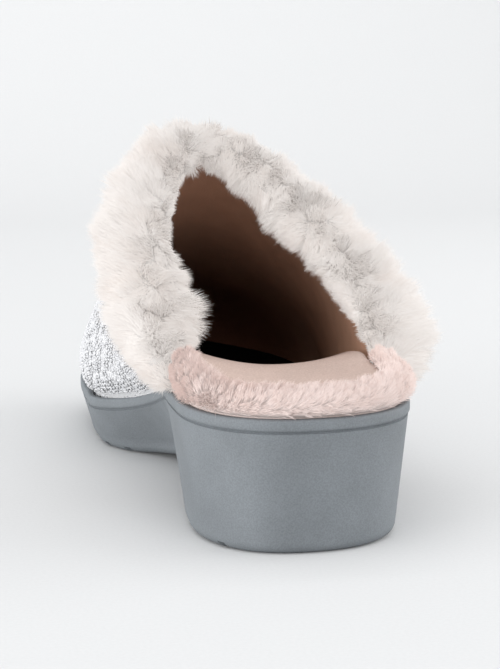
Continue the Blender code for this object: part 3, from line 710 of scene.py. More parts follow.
def hair_tree():
    """Roots hairs on a skin: they lie along its lay attribute, lean into tufts and vary in length."""
    tree, start, end = new_tree(
        "pile",
        [
            ("Hair", "NodeSocketObject"),
            ("Hairs per square metre", "NodeSocketFloat"),
            ("Width", "NodeSocketFloat"),
            ("Tuft size", "NodeSocketFloat"),
            ("Tuft pull", "NodeSocketFloat"),
            ("Scatter", "NodeSocketFloat"),
            ("Lock sway", "NodeSocketFloat"),
            ("Shortest tuft", "NodeSocketFloat"),
            ("Longest tuft", "NodeSocketFloat"),
            ("Seed", "NodeSocketInt"),
            ("Material", "NodeSocketMaterial"),
        ],
    )
    cover = add_node(tree, "GeometryNodeInputNamedAttribute", {"Name": "cover"}, data_type="FLOAT")
    lay = add_node(tree, "GeometryNodeInputNamedAttribute", {"Name": "lay"}, data_type="FLOAT_VECTOR")
    density = add_node(
        tree, "ShaderNodeMath", links={0: cover.outputs[0], 1: start.outputs["Hairs per square metre"]}, operation="MULTIPLY"
    )
    roots = add_node(
        tree,
        "GeometryNodeDistributePointsOnFaces",
        links={"Mesh": start.outputs["Geometry"], "Density": density.outputs[0], "Seed": start.outputs["Seed"]},
        distribute_method="RANDOM",
    )
    here = add_node(tree, "GeometryNodeInputPosition").outputs[0]
    # each tuft draws its hairs towards one cell's middle
    fineness = add_node(tree, "ShaderNodeMath", {0: 1.0}, {1: start.outputs["Tuft size"]}, operation="DIVIDE")
    cell = add_node(
        tree, "ShaderNodeTexVoronoi", links={"Vector": here, "Scale": fineness.outputs[0]}, feature="F1"
    )
    inward = add_node(tree, "ShaderNodeVectorMath", links={0: cell.outputs["Position"], 1: here}, operation="SUBTRACT")
    pulled = add_node(
        tree, "ShaderNodeVectorMath", links={0: inward.outputs[0], "Scale": start.outputs["Tuft pull"]}, operation="SCALE"
    )
    # a slow wave combs whole locks one way or the other
    wave = add_node(tree, "ShaderNodeTexNoise", {"Scale": 85.0, "Detail": 1.0}, {"Vector": here})
    centred = add_node(
        tree, "ShaderNodeVectorMath", {1: (0.5, 0.5, 0.5)}, {0: wave.outputs["Color"]}, operation="SUBTRACT"
    )
    own_way = add_node(
        tree, "ShaderNodeVectorMath", {1: (0.5, 0.5, 0.5)}, {0: cell.outputs["Color"]}, operation="SUBTRACT"
    )
    own_part = add_node(tree, "ShaderNodeVectorMath", {"Scale": 0.34}, {0: own_way.outputs[0]}, operation="SCALE")
    both = add_node(tree, "ShaderNodeVectorMath", links={0: centred.outputs[0], 1: own_part.outputs[0]}, operation="ADD")
    combed = add_node(
        tree, "ShaderNodeVectorMath", links={0: both.outputs[0], "Scale": start.outputs["Lock sway"]}, operation="SCALE"
    )
    loose = add_node(
        tree, "FunctionNodeRandomValue", {0: (-1, -1, -1), 1: (1, 1, 1), "Seed": 3}, data_type="FLOAT_VECTOR"
    )
    strayed = add_node(
        tree, "ShaderNodeVectorMath", links={0: loose.outputs[0], "Scale": start.outputs["Scatter"]}, operation="SCALE"
    )
    first = add_node(tree, "ShaderNodeVectorMath", links={0: lay.outputs[0], 1: pulled.outputs[0]}, operation="ADD")
    second = add_node(tree, "ShaderNodeVectorMath", links={0: first.outputs[0], 1: combed.outputs[0]}, operation="ADD")
    aim = add_node(tree, "ShaderNodeVectorMath", links={0: second.outputs[0], 1: strayed.outputs[0]}, operation="ADD")
    upright = add_node(tree, "FunctionNodeAlignRotationToVector", links={"Vector": aim.outputs[0]}, axis="Z")
    # the blade's flat side is turned outwards, give or take half a right angle
    turned = add_node(
        tree,
        "FunctionNodeAlignRotationToVector",
        links={"Rotation": upright.outputs[0], "Vector": roots.outputs["Normal"]},
        axis="Y",
        pivot_axis="Z",
    )
    angle = add_node(tree, "FunctionNodeRandomValue", {2: -0.8, 3: 0.8, "Seed": 5}, data_type="FLOAT")
    spin = add_node(tree, "FunctionNodeAxisAngleToRotation", {"Axis": (0, 0, 1)}, {"Angle": angle.outputs[1]})
    rotation = add_node(
        tree, "FunctionNodeRotateRotation", links={0: turned.outputs[0], 1: spin.outputs[0]}, rotation_space="LOCAL"
    )
    reach = add_node(tree, "ShaderNodeVectorMath", links={0: lay.outputs[0]}, operation="LENGTH")
    vary = add_node(tree, "FunctionNodeRandomValue", {2: 0.72, 3: 1.08, "Seed": 9}, data_type="FLOAT")
    # every tuft ends at its own length, so that the edge is jagged
    shade = add_node(tree, "ShaderNodeSeparateXYZ", links={"Vector": cell.outputs["Color"]})
    stretch = add_node(
        tree,
        "ShaderNodeMapRange",
        links={"Value": shade.outputs["Z"], "To Min": start.outputs["Shortest tuft"], "To Max": start.outputs["Longest tuft"]},
    )
    share = add_node(tree, "ShaderNodeMath", links={0: stretch.outputs[0], 1: vary.outputs[1]}, operation="MULTIPLY")
    length = add_node(tree, "ShaderNodeMath", links={0: reach.outputs["Value"], 1: share.outputs[0]}, operation="MULTIPLY")
    size = add_node(
        tree,
        "ShaderNodeCombineXYZ",
        links={0: start.outputs["Width"], 1: start.outputs["Width"], 2: length.outputs[0]},
    )
    hair = add_node(tree, "GeometryNodeObjectInfo", links={"Object": start.outputs["Hair"]})
    planted = add_node(
        tree,
        "GeometryNodeInstanceOnPoints",
        links={
            "Points": roots.outputs["Points"],
            "Instance": hair.outputs["Geometry"],
            "Rotation": rotation.outputs[0],
            "Scale": size.outputs[0],
        },
    )
    own = add_node(tree, "FunctionNodeRandomValue", {2: -0.16, 3: 0.16, "Seed": 12}, data_type="FLOAT")
    patch = add_node(tree, "ShaderNodeTexNoise", {"Scale": 95.0, "Detail": 2.0}, {"Vector": here})
    tint = add_node(
        tree, "ShaderNodeMath", links={0: patch.outputs[0], 1: own.outputs[1]}, operation="ADD"
    )
    stored = add_node(
        tree,
        "GeometryNodeStoreNamedAttribute",
        {"Name": "tint"},
        {"Geometry": planted.outputs[0], "Value": tint.outputs[0]},
        data_type="FLOAT",
        domain="INSTANCE",
    )
    facing = add_node(
        tree,
        "GeometryNodeStoreNamedAttribute",
        {"Name": "soft"},
        {"Geometry": stored.outputs[0], "Value": roots.outputs["Normal"]},
        data_type="FLOAT_VECTOR",
        domain="INSTANCE",
    )
    real = add_node(tree, "GeometryNodeRealizeInstances", links={"Geometry": facing.outputs[0]})
    done = add_node(
        tree, "GeometryNodeSetMaterial", links={"Geometry": real.outputs[0], "Material": start.outputs["Material"]}
    )
    tree.links.new(done.outputs[0], end.inputs[0])
    return tree


def hair_blade(name, bend):
    """One hair, a metre long and a metre wide until it is scaled: a tapering blade of three triangles."""
    mesh = bpy.data.meshes.new(name)
    points = [(-0.5, 0, 0), (0.5, 0, 0), (-0.36, bend * 0.4, 0.52), (0.36, bend * 0.4, 0.52), (0, bend * 1.5, 1.0)]
    mesh.from_pydata(points, [], [(0, 2, 3, 1), (2, 4, 3)])
    mesh.shade_smooth()
    set_floats(mesh, "hair", [0, 0, 0.52, 0.52, 1])
    made = bpy.data.objects.new(name, mesh)
    bpy.context.scene.collection.objects.link(made)
    return made


def soften(mesh, share):
    """Shades hairs partly as the surface they stand on, as light spreads through thick pile."""
    count = len(mesh.vertices)
    soft = np.empty(count * 3, np.float32)
    mesh.attributes["soft"].data.foreach_get("vector", soft)
    own = np.empty(count * 3, np.float32)
    mesh.vertices.foreach_get("normal", own)
    soft, own = soft.reshape(-1, 3), own.reshape(-1, 3)
    own *= np.sign((soft * own).sum(1, keepdims=True) + 1e-9)
    mesh.attributes.remove(mesh.attributes["soft"])
    mesh.normals_split_custom_set_from_vertices(unit(share * soft + (1 - share) * own))


def grow_pile(skin, name, material, hairs_per_mm2, width, tuft, pull, scatter, sway, tufts, softness, seed, bend=0.6):
    """Grows hairs from a copy of a skin and gives them back as one plain piece."""
    source = skin.copy()
    source.data = skin.data.copy()
    bpy.context.scene.collection.objects.link(source)
    blade = hair_blade(name + "_blade", bend)
    run_tree(
        source,
        hair_tree(),
        {
            "Hair": blade,
            "Hairs per square metre": hairs_per_mm2 * 1e6,
            "Width": width * MM,
            "Tuft size": tuft * MM,
            "Tuft pull": pull,
            "Scatter": scatter * MM,
            "Lock sway": sway * MM,
            "Shortest tuft": tufts[0],
            "Longest tuft": tufts[1],
            "Seed": seed,
            "Material": material,
        },
    )
    piece = plain_mesh(source, name, [material])
    blade_mesh = blade.data
    bpy.data.objects.remove(blade)
    bpy.data.meshes.remove(blade_mesh)
    soften(piece.data, softness)
    return piece


def stitch_tree():
    """Puts a knit loop's two legs on every point, turned along the cloth."""
    tree, start, end = new_tree(
        "knit loops",
        [
            ("Loop", "NodeSocketObject"),
            ("Loop width", "NodeSocketFloat"),
            ("Loop length", "NodeSocketFloat"),
            ("Unevenness", "NodeSocketFloat"),
            ("Seed", "NodeSocketInt"),
            ("Material", "NodeSocketMaterial"),
        ],
    )
    out = add_node(tree, "GeometryNodeInputNamedAttribute", {"Name": "out"}, data_type="FLOAT_VECTOR")
    wale = add_node(tree, "GeometryNodeInputNamedAttribute", {"Name": "wale"}, data_type="FLOAT_VECTOR")
    upright = add_node(tree, "FunctionNodeAlignRotationToVector", links={"Vector": out.outputs[0]}, axis="Z")
    turned = add_node(
        tree,
        "FunctionNodeAlignRotationToVector",
        links={"Rotation": upright.outputs[0], "Vector": wale.outputs[0]},
        axis="Y",
        pivot_axis="Z",
    )
    sway = add_node(tree, "FunctionNodeRandomValue", {2: -0.42, 3: 0.42, "Seed": 4}, data_type="FLOAT")
    spin = add_node(tree, "FunctionNodeAxisAngleToRotation", {"Axis": (0, 0, 1)}, {"Angle": sway.outputs[1]})
    rotation = add_node(
        tree, "FunctionNodeRotateRotation", links={0: turned.outputs[0], 1: spin.outputs[0]}, rotation_space="LOCAL"
    )
    vary = add_node(tree, "FunctionNodeRandomValue", {2: 0.60, 3: 1.35, "Seed": 6}, data_type="FLOAT")
    wide = add_node(tree, "ShaderNodeMath", links={0: vary.outputs[1], 1: start.outputs["Loop width"]}, operation="MULTIPLY")
    size = add_node(
        tree,
        "ShaderNodeCombineXYZ",
        links={0: start.outputs["Loop width"], 1: start.outputs["Loop length"], 2: wide.outputs[0]},
    )
    loop = add_node(tree, "GeometryNodeObjectInfo", links={"Object": start.outputs["Loop"]})
    # hand-spun yarn never sits quite in its row
    astray = add_node(
        tree,
        "FunctionNodeRandomValue",
        {0: (-1, -1, -1), 1: (1, 1, 1), "Seed": 15},
        data_type="FLOAT_VECTOR",
    )
    uneven = add_node(
        tree, "ShaderNodeVectorMath", links={0: astray.outputs[0], "Scale": start.outputs["Unevenness"]}, operation="SCALE"
    )
    moved = add_node(
        tree, "GeometryNodeSetPosition", links={"Geometry": start.outputs["Geometry"], "Offset": uneven.outputs[0]}
    )
    points = add_node(tree, "GeometryNodeMeshToPoints", links={"Mesh": moved.outputs[0]})
    knitted = add_node(
        tree,
        "GeometryNodeInstanceOnPoints",
        links={
            "Points": points.outputs[0],
            "Instance": loop.outputs["Geometry"],
            "Rotation": rotation.outputs[0],
            "Scale": size.outputs[0],
        },
    )
    tone = add_node(
        tree, "FunctionNodeRandomValue", {2: 0.0, 3: 1.0}, {"Seed": start.outputs["Seed"]}, data_type="FLOAT"
    )
    stored = add_node(
        tree,
        "GeometryNodeStoreNamedAttribute",
        {"Name": "tint"},
        {"Geometry": knitted.outputs[0], "Value": tone.outputs[1]},
        data_type="FLOAT",
        domain="INSTANCE",
    )
    real = add_node(tree, "GeometryNodeRealizeInstances", links={"Geometry": stored.outputs[0]})
    done = add_node(
        tree, "GeometryNodeSetMaterial", links={"Geometry": real.outputs[0], "Material": start.outputs["Material"]}
    )
    tree.links.new(done.outputs[0], end.inputs[0])
    return tree


def knit_loop(name):
    """Two legs of a knit loop, a metre wide and long until scaled: closed bumps leaning together."""
    points = []
    faces = []
    for sign in (-1, 1):
        start = len(points)
        lean = sign * 0.13
        flat = [(0.0, -0.56), (0.25, -0.26), (0.25, 0.26), (0.0, 0.56), (-0.25, 0.26), (-0.25, -0.26)]
        for x, y in flat:
            points.append((sign * 0.25 + x - lean * y * 2, y, -0.12))
        for y in (-0.20, 0.20):
            points.append((sign * 0.25 - lean * y * 2, y, 0.17))
        a = start
        faces += [
            (a, a + 1, a + 6),
            (a + 1, a + 2, a + 7),
            (a + 1, a + 7, a + 6),
            (a + 2, a + 3, a + 7),
            (a + 3, a + 4, a + 7),
            (a + 4, a + 5, a + 6),
            (a + 4, a + 6, a + 7),
            (a + 5, a, a + 6),
            (a + 5, a + 4, a + 3, a + 2, a + 1, a),
        ]
    mesh = bpy.data.meshes.new(name)
    mesh.from_pydata(points, [], faces)
    mesh.shade_smooth()
    made = bpy.data.objects.new(name, mesh)
    bpy.context.scene.collection.objects.link(made)
    return made


# Pieces


def make_sole(looks):
    """The moulded wedge, at several times the solid's fineness, with its tread channels cut."""
    steps = stations(30, 64, 44)

    def lean(side, y, share):
        return level(WALL_TABLE, side, y) * share + LIP_PROUD

    def wall_ring(share):
        def height(side, y):
            low = underside_z(y) + level(WALL_TABLE, "edge", y)
            high = lip_z(y) - LIP_HEIGHT - GROOVE_HEIGHT
            return high + (low - high) * share

        return ring(steps, lambda side, y: lean(side, y, share), height)

    def edge_ring(angle):
        def inset(side, y):
            return lean(side, y, 1.0) + level(WALL_TABLE, "edge", y) * (1 - math.cos(angle))

        def height(side, y):
            return underside_z(y) + level(WALL_TABLE, "edge", y) * (1 - math.sin(angle))

        return ring(steps, inset, height)

    def lip_ring(inset, below):
        return ring(steps, lambda side, y: inset, lambda side, y: lip_z(y) - below)

    rings = [edge_ring(math.radians(a)) for a in (90, 75, 60, 45, 30, 15, 0)]
    rings += [wall_ring(share) for share in (0.83, 0.66, 0.5, 0.33, 0.16, 0.03)]
    groove = 0.6 * GROOVE_DEPTH + LIP_PROUD
    rings += [
        wall_ring(0.0),
        lip_ring(groove * 0.8, LIP_HEIGHT + 0.85 * GROOVE_HEIGHT),
        lip_ring(groove, LIP_HEIGHT + 0.6 * GROOVE_HEIGHT),
        lip_ring(groove * 0.85, LIP_HEIGHT + 0.25 * GROOVE_HEIGHT),
        lip_ring(0.35, LIP_HEIGHT),
        lip_ring(0.08, LIP_HEIGHT - 0.3),
        lip_ring(0.0, LIP_HEIGHT - 0.7),
        lip_ring(0.0, LIP_ROUND),
        lip_ring(0.10, 0.50),
        lip_ring(0.28, 0.24),
        lip_ring(0.55, 0.06),
        lip_ring(LIP_ROUND, 0.0),
        lip_ring(LIP_WIDTH - 0.3, 0.0),
        lip_ring(LIP_WIDTH, 0.3),
        lip_ring(LIP_WIDTH, CUP_DEPTH),
    ]

    def flat(left, right, s):
        return left[2] + (right[2] - left[2]) * s

    points, faces = stack(rings, 8, flat, flat)
    foam = moulded_foam(looks)
    sole = add_piece("sole", points, faces, crease=50.0)
    shape = bmesh.new()
    for y in TREAD_FOREFOOT_Y + TREAD_HEEL_Y:
        bar = bmesh.ops.create_cube(shape, size=1.0)["verts"]
        bmesh.ops.scale(shape, vec=(140 * MM, TREAD_WIDTH * MM, 2 * TREAD_DEPTH * MM), verts=bar)
        bmesh.ops.translate(shape, vec=(0, (y - HEEL_REST_Y) * MM, underside_z(y) * MM), verts=bar)
    mesh = bpy.data.meshes.new("tread_cutter")
    shape.to_mesh(mesh)
    shape.free()
    cutter = bpy.data.objects.new("tread_cutter", mesh)
    bpy.context.scene.collection.objects.link(cutter)
    cut = sole.modifiers.new("tread", "BOOLEAN")
    cut.operation = "DIFFERENCE"
    cut.object = cutter
    sole = plain_mesh(sole, "sole", [foam])
    bpy.data.objects.remove(cutter)
    sole.data.set_sharp_from_angle(angle=math.radians(50))
    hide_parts("outsole")
    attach(sole, "root")
    return sole


def bed_inset(side, y):
    fore = eased(y, PLUSH_END_Y + 2, PLUSH_END_Y + 20)
    toe = eased(y, 196, 232)
    inset = FOOTBED_INSET_HEEL + (FOOTBED_INSET_FORE - FOOTBED_INSET_HEEL) * fore
    return inset + (FOOTBED_INSET_TOE - FOOTBED_INSET_FORE) * toe


def make_insole(looks):
    """The cushioned insole: footbed foam under its suede sock, dished at the heel, with a rolled edge."""
    steps = stations(24, 50, 34)

    def edge(extra, height):
        plain = ring(steps, lambda side, y: bed_inset(side, y) + extra, lambda side, y: 0.0)
        count = len(plain)
        made = []
        for n, (x, y, _) in enumerate(plain):
            partner = plain[(count - n) % count]
            medial, lateral = (plain[n], partner) if n <= count // 2 else (partner, plain[n])
            ends = n in (0, count // 2)
            made.append((x, y, height(medial, lateral, 0.5 if ends else (0.0 if n < count // 2 else 1.0))))
        return made

    def under(left, right, s):
        return cup_z(left[1] + (right[1] - left[1]) * s) + GAP

    def over(drop):
        def height(left, right, s):
            across = 1 - (2 * s - 1) ** 2
            y = left[1] + (right[1] - left[1]) * s
            dish = looks.dish / MM * across * (0.55 + 0.9 * s) * eased(y, 8, 40) * (1 - eased(y, 110, 150))
            return sock_z(left, right, s) - dish - drop

        return height

    rings = [edge(0.0, under), edge(0.0, over(1.1)), edge(0.25, over(0.45)), edge(0.8, over(0.1)), edge(1.8, over(0.0))]
    points, faces = stack(rings, 34, under, over(0.0))
    insole = add_piece("insole", points, faces, [micro_suede(looks)], crease=60.0)
    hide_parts("footbed", "insole_sock")
    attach(insole, "root")
    return insole


def plush_section(g, side):
    """One section of the heel roll in (inset, height): the solid's form, let in by the pile's length."""
    y = side_point(g, side)[1]
    outer = LIP_WIDTH + GAP
    inner = outer + PLUSH_WIDTH
    low, lip, top = cup_z(y) + GAP, lip_z(y), level(PLUSH_TABLE, "top", y) - 0.9
    if side == "lateral":
        top -= 3.6 * eased(y, 16, 44)
    else:
        top -= 1.4 * eased(y, 20, 44)
    top -= 1.5 * (1 - eased(y, 10, 34))
    sock = level(HEIGHT_TABLE, "sock", y) + level(HEIGHT_TABLE, "rise_" + side, y) + LOOSE_GAP
    over = inner + (PLUSH_OVER_SOCK - 0.9) * (1 - (0.85 if side == "medial" else 0.3) * eased(y, 14, 40))
    width = over - outer
    proud = PLUSH_PROUD - 1.0
    profile = [
        (outer, low),
        (outer, lip + GAP),
        (outer - 0.45 * proud, lip + GAP + 0.5),
        (outer - 0.72 * proud, lip + 0.24 * (top - lip)),
        (outer - 0.96 * proud, lip + 0.43 * (top - lip)),
        (outer - 0.96 * proud, lip + 0.60 * (top - lip)),
        (outer - 0.72 * proud + 0.03 * width, lip + 0.76 * (top - lip)),
        (outer - 0.30 * proud + 0.10 * width, top - 1.1),
        (outer + 0.26 * width, top - 0.3),
        (outer + 0.46 * width, top),
        (outer + 0.66 * width, top - 0.3),
        (outer + 0.84 * width, top - 1.1),
        (outer + 0.96 * width, sock + 0.62 * (top - sock)),
        (over, sock + 0.35 * (top - sock)),
        (over - 0.4, sock + 0.5),
        (inner, sock),
        (inner, low),
    ]
    return [np.array([*outline(g, side, inset), z]) for inset, z in profile]


def make_plush(looks):
    """The heel's roll: a padded tube under short silky pile."""
    last = g_at(PLUSH_END_Y, "medial")
    count = 60
    path = [(last * (count - n) / count, "medial") for n in range(count)] + [(last * n / count, "lateral") for n in range(count + 1)]
    sections = [plush_section(g, side) for g, side in path]
    points, faces = tube(sections)
    skin = add_piece("plush_roll", points, faces, [pile_skin("plush backing", shade(looks.plush_colour, 1.15))])
    mesh = skin.data
    normals = np.array([tuple(v.normal) for v in mesh.vertices])
    width = len(sections[0])
    sections = np.array(sections)
    along = unit(np.gradient(sections, axis=0)).reshape(-1, 3)
    cover = np.tile([0, 0, 0, 0.5, 1, 1, 1, 1, 1, 1, 1, 1, 1, 1, 0.6, 0, 0], len(path))
    # the pile is brushed up and round to the outer side
    lay = unit(normals * 0.52 + along * 0.55 + np.array([0, 0, 0.42]))
    # and is worn shorter towards the roll's two ends
    ends = [1 - 0.3 * eased(side_point(g, side)[1], 22, 50) for g, side in path]
    set_vectors(mesh, "lay", lay * looks.plush_length * np.repeat(ends, width)[:, None])
    set_floats(mesh, "cover", cover)
    # the plush's roots are painted much darker, as shade, and the pile glows a little, as painted light
    pile_of = pile("short silky plush", looks.plush_colour, 0.58, "#eadbd4", 0.15, "#fff1ed", 0.22)
    hairs = grow_pile(skin, "plush_pile", pile_of, looks.plush_density, 0.21, 2.6, 0.5, 0.7, 3.2, (0.8, 1.15), 0.3, 21)
    for piece in (skin, hairs):
        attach(piece, "root")
    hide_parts("heel_plush")
    return skin, hairs


def cloth_sheet(form, rows, columns):
    """Points of the upper's form over rows and columns, closed at the toe in one point."""
    points = [[form.at(row, n / columns) for n in range(columns + 1)] for row in rows]
    return np.array(points), form.at(10.0, 0.5)


def make_upper(looks):
    """The upper's two cloths in one closed shell: the knit's ground outside, the lining inside."""
    columns = 136
    rows = [9.92 * (n / 110) for n in range(111)]
    outer, outer_tip = cloth_sheet(Form(-0.55), rows, columns)
    inner, inner_tip = cloth_sheet(Form(-UPPER_WALL), rows, columns)
    # the loose lining lies in soft folds that run in towards the toe
    for n, row in enumerate(rows):
        for k in range(columns + 1):
            along = k / columns
            edge = min(along, 1 - along)
            calm = eased(edge, 0.03, 0.12) * (1 - eased(row, 7.5, 9.5))
            wave = math.sin(along * 31 + 1.3 * math.sin(row * 1.1)) + 0.6 * math.sin(along * 57 - row * 1.7)
            inner[n, k, 2] -= 0.45 * calm * (1 + 0.5 * wave)
    width = columns + 1
    sheet = width * len(rows) + 1
    points = [tuple(p) for p in outer.reshape(-1, 3)] + [tuple(outer_tip)]
    points += [tuple(p) for p in inner.reshape(-1, 3)] + [tuple(inner_tip)]
    faces, numbers = [], []
    for side, start in enumerate((0, sheet)):
        for n in range(len(rows) - 1):
            for k in range(columns):
                a = start + n * width + k
                faces.append((a, a + 1, a + width + 1, a + width))
                numbers.append(side)
        end = start + (len(rows) - 1) * width
        faces += [(end + k, end + k + 1, start + sheet - 1) for k in range(columns)]
        numbers += [side] * columns
    rim = list(range(width))
    outer_side = [n * width + columns for n in range(1, len(rows))]
    inner_side = [n * width for n in range(len(rows) - 1, 0, -1)]
    loop = rim + outer_side + [sheet - 1] + inner_side
    faces += [(a, b, b + sheet, a + sheet) for a, b in zip(loop, loop[1:] + loop[:1])]
    numbers += [0] * len(loop)
    cloth = add_piece("upper_cloth", points, faces, [knit_ground(looks), brushed_lining(looks)], 70.0, numbers)
    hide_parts("upper")
    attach(cloth, "root")
    return cloth


def wale_points(looks):
    """Where the knit's loops sit: places, outward directions and wale directions, in millimetres."""
    wale, course = looks.wale / MM, looks.course / MM
    form = Form(-0.35, first=-0.2, last=9.9, rows=203, columns=204)
    grid = form.grid
    rows, columns = grid.shape[:2]
    middle = (columns - 1) // 2
    steps = np.linalg.norm(np.diff(grid, axis=1), axis=2)
    arc = np.zeros((rows, columns))
    arc[:, middle + 1 :] = np.cumsum(steps[:, middle:], axis=1)
    arc[:, :middle] = -np.cumsum(steps[:, :middle][:, ::-1], axis=1)[:, ::-1]
    tangent = unit(np.gradient(grid, axis=0))
    across = unit(np.gradient(grid, axis=1))
    outward = unit(np.cross(across, tangent))
    if outward[10, middle, 2] < 0:
        outward = -outward
    places, outs, wales = [], [], []
    widest = int(max(-arc.min(), arc.max()) / wale) + 1
    for number in range(-widest, widest + 1):
        target = number * wale
        line = []
        for n in range(rows):
            if arc[n, 0] < target < arc[n, -1]:
                at = float(np.interp(target, arc[n], np.arange(columns)))
                k = min(int(at), columns - 2)
                v = at - k
                line.append(
                    np.concatenate([
                        grid[n, k] * (1 - v) + grid[n, k + 1] * v,
                        outward[n, k] * (1 - v) + outward[n, k + 1] * v,
                        [at / (columns - 1)],
                    ])
                )
        if len(line) < 3:
            continue
        line = np.array(line)
        run = np.concatenate([[0], np.cumsum(np.linalg.norm(np.diff(line[:, :3], axis=0), axis=1))])
        offset = 0.5 * course * (number % 2)
        stops = np.arange(KNIT_START + offset, run[-1], course)
        for stop in stops:
            here = [np.interp(stop, run, line[:, c]) for c in range(7)]
            after = [np.interp(stop + 0.4, run, line[:, c]) for c in range(3)]
            before = [np.interp(stop - 0.4, run, line[:, c]) for c in range(3)]
            place = np.array(here[:3])
            if place[2] < lip_z(place[1]) - 0.1:
                continue
            places.append(place)
            outs.append(here[3:6])
            wales.append(np.array(after) - np.array(before))
    return np.array(places), unit(outs), unit(wales)


def make_knit(looks):
    """Chunky knit in stocking stitch: two legs of yarn for every loop, wale beside wale."""
    places, outs, wales = wale_points(looks)
    mesh = bpy.data.meshes.new("knit_points")
    mesh.from_pydata([(x * MM, (y - HEEL_REST_Y) * MM, z * MM) for x, y, z in places], [], [])
    set_vectors(mesh, "out", outs)
    set_vectors(mesh, "wale", wales)
    source = bpy.data.objects.new("knit_points", mesh)
    bpy.context.scene.collection.objects.link(source)
    loop = knit_loop("knit_loop")
    yarn = chunky_yarn(looks)
    run_tree(
        source,
        stitch_tree(),
        {"Loop": loop, "Loop width": looks.wale * 1.25, "Loop length": looks.course * 0.95, "Unevenness": 0.24 * MM, "Seed": 8, "Material": yarn},
    )
    knit = plain_mesh(source, "knit_loops", [yarn])
    loop_mesh = loop.data
    bpy.data.objects.remove(loop)
    bpy.data.meshes.remove(loop_mesh)
    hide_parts("upper")
    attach(knit, "root")
    return knit


def fur_section(along):
    """One section of the cuff: where the fur's tips end, where its roots are, and its cover."""
    outer, inner, skirt, tuck, back = (
        read(FUR_TABLE, "along", key, along) for key in ("outer", "inner", "skirt", "tuck", "back")
    )
    start = 1 / UPPER_COLUMNS
    calm = eased(min(along - start, 1 - start - along), -0.01, 0.07)
    outer *= 0.75 + 0.25 * calm
    inner, tuck = max(inner, FUR_LINING), max(tuck, FUR_LINING)
    skin = UPPER_WALL + LOOSE_GAP + 0.2
    # distance from the edge and out of the wall, first of the tips and then of the roots
    free = [
        (skirt, 2.2, skirt * 0.80, 1.4, 0.9),
        (skirt * 0.93, outer * 0.50, skirt * 0.70, outer * 0.28, 1.0),
        (skirt * 0.80, outer * 0.78, skirt * 0.56, outer * 0.44, 1.0),
        (skirt * 0.60, outer * 0.95, skirt * 0.38, outer * 0.52, 1.0),
        (skirt * 0.40, outer, skirt * 0.20, outer * 0.55, 1.0),
        (skirt * 0.18, outer, skirt * 0.02, outer * 0.55, 1.0),
        (-back * 0.10, outer * 0.90, -back * 0.24, outer * 0.48, 1.0),
        (-back * 0.62, outer * 0.60, -back * 0.46, outer * 0.30, 1.0),
        (-back * 0.92, outer * 0.25, -back * 0.58, outer * 0.12, 1.0),
        (-back, -skin * 0.5, -back * 0.60, -skin * 0.4, 1.0),
        (-back * 0.85, -skin - inner * 0.45, -back * 0.56, -skin - inner * 0.22, 1.0),
        (-back * 0.40, -skin - inner * 0.85, -back * 0.44, -skin - inner * 0.44, 1.0),
        (tuck * 0.20, -skin - inner, -tuck * 0.12, -skin - inner * 0.54, 1.0),
        (tuck * 0.70, -skin - inner * 0.85, tuck * 0.20, -skin - inner * 0.46, 0.9),
        (tuck * 1.05, -skin - inner * 0.45, tuck * 0.55, -skin - inner * 0.22, 0.7),
    ]
    end, foot = skirt * 0.80, tuck * 0.55
    slot = [
        (foot, -skin), (foot * 0.5, -skin), (-LOOSE_GAP, -skin), (-LOOSE_GAP, LOOSE_GAP),
        (end * 0.25, LOOSE_GAP), (end * 0.50, LOOSE_GAP), (end * 0.75, LOOSE_GAP), (end, LOOSE_GAP),
    ]
    return free, slot


def on_form(along, distance, out):
    """A point of the upper's form so many millimetres from the collar's edge, clear of the lip."""
    step = 0.1
    rate = np.linalg.norm(Section(step, out).at(along) - Section(0.0, out).at(along)) / step
    x, y, z = Section(distance / rate, out).at(along)
    floor = lip_z(y) + FUR_OVER_LIP if out > LOOSE_GAP else 0.0
    return np.array([x, y, max(z, floor)])


def make_fur(looks):
    """The deep fur cuff: a folded backing with long fur combed out and down, in three regions."""
    alongs = [n / 136 for n in range(4, 133)]
    sections, lays, covers = [], [], []
    for along in alongs:
        free, slot = fur_section(along)
        roots = [on_form(along, root_d, root_o) for _, _, root_d, root_o, _ in free]
        tips = [on_form(along, tip_d, tip_o) for tip_d, tip_o, *_ in free]
        shut = [on_form(along, distance, out) for distance, out in slot]
        sections.append(roots + shut)
        lays.append([tip - root for tip, root in zip(tips, roots)] + [np.array([0, 0, -1.0])] * len(shut))
        covers.append([each[4] for each in free] + [0.0] * len(shut))
    points, faces = tube(sections)
    skin = add_piece("fur_backing", points, faces, [pile_skin("fur backing", shade(looks.fur_colour, 1.3))], 180.0)
    mesh = skin.data
    lay = np.array(lays).reshape(-1, 3) * MM * looks.fur_reach
    set_vectors(mesh, "lay", lay)
    cover = np.array(covers).ravel()
    place = np.repeat(alongs, len(sections[0]))
    regions = {
        "fur_inner_side": place < 0.36,
        "fur_instep": (place >= 0.36) & (place < 0.64),
        "fur_outer_side": place >= 0.64,
    }
    # the fur's roots are painted a little darker, as shade, and the fur glows, as painted light
    material = pile("faux fur pile", looks.fur_colour, 0.92, "#ebe0d9", 0.15, "#fff9f5", 0.37)
    pieces = [skin]
    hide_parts("fur_collar")
    for number, (name, where) in enumerate(regions.items()):
        set_floats(mesh, "cover", cover * where)
        pieces.append(grow_pile(skin, name, material, looks.fur_density, 0.24, 4.6, 0.42, 1.7, 11.0, (0.80, 1.20), 0.74, 31 + number))
        mesh.attributes.remove(mesh.attributes["cover"])
    for piece in pieces:
        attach(piece, "root")
    return pieces


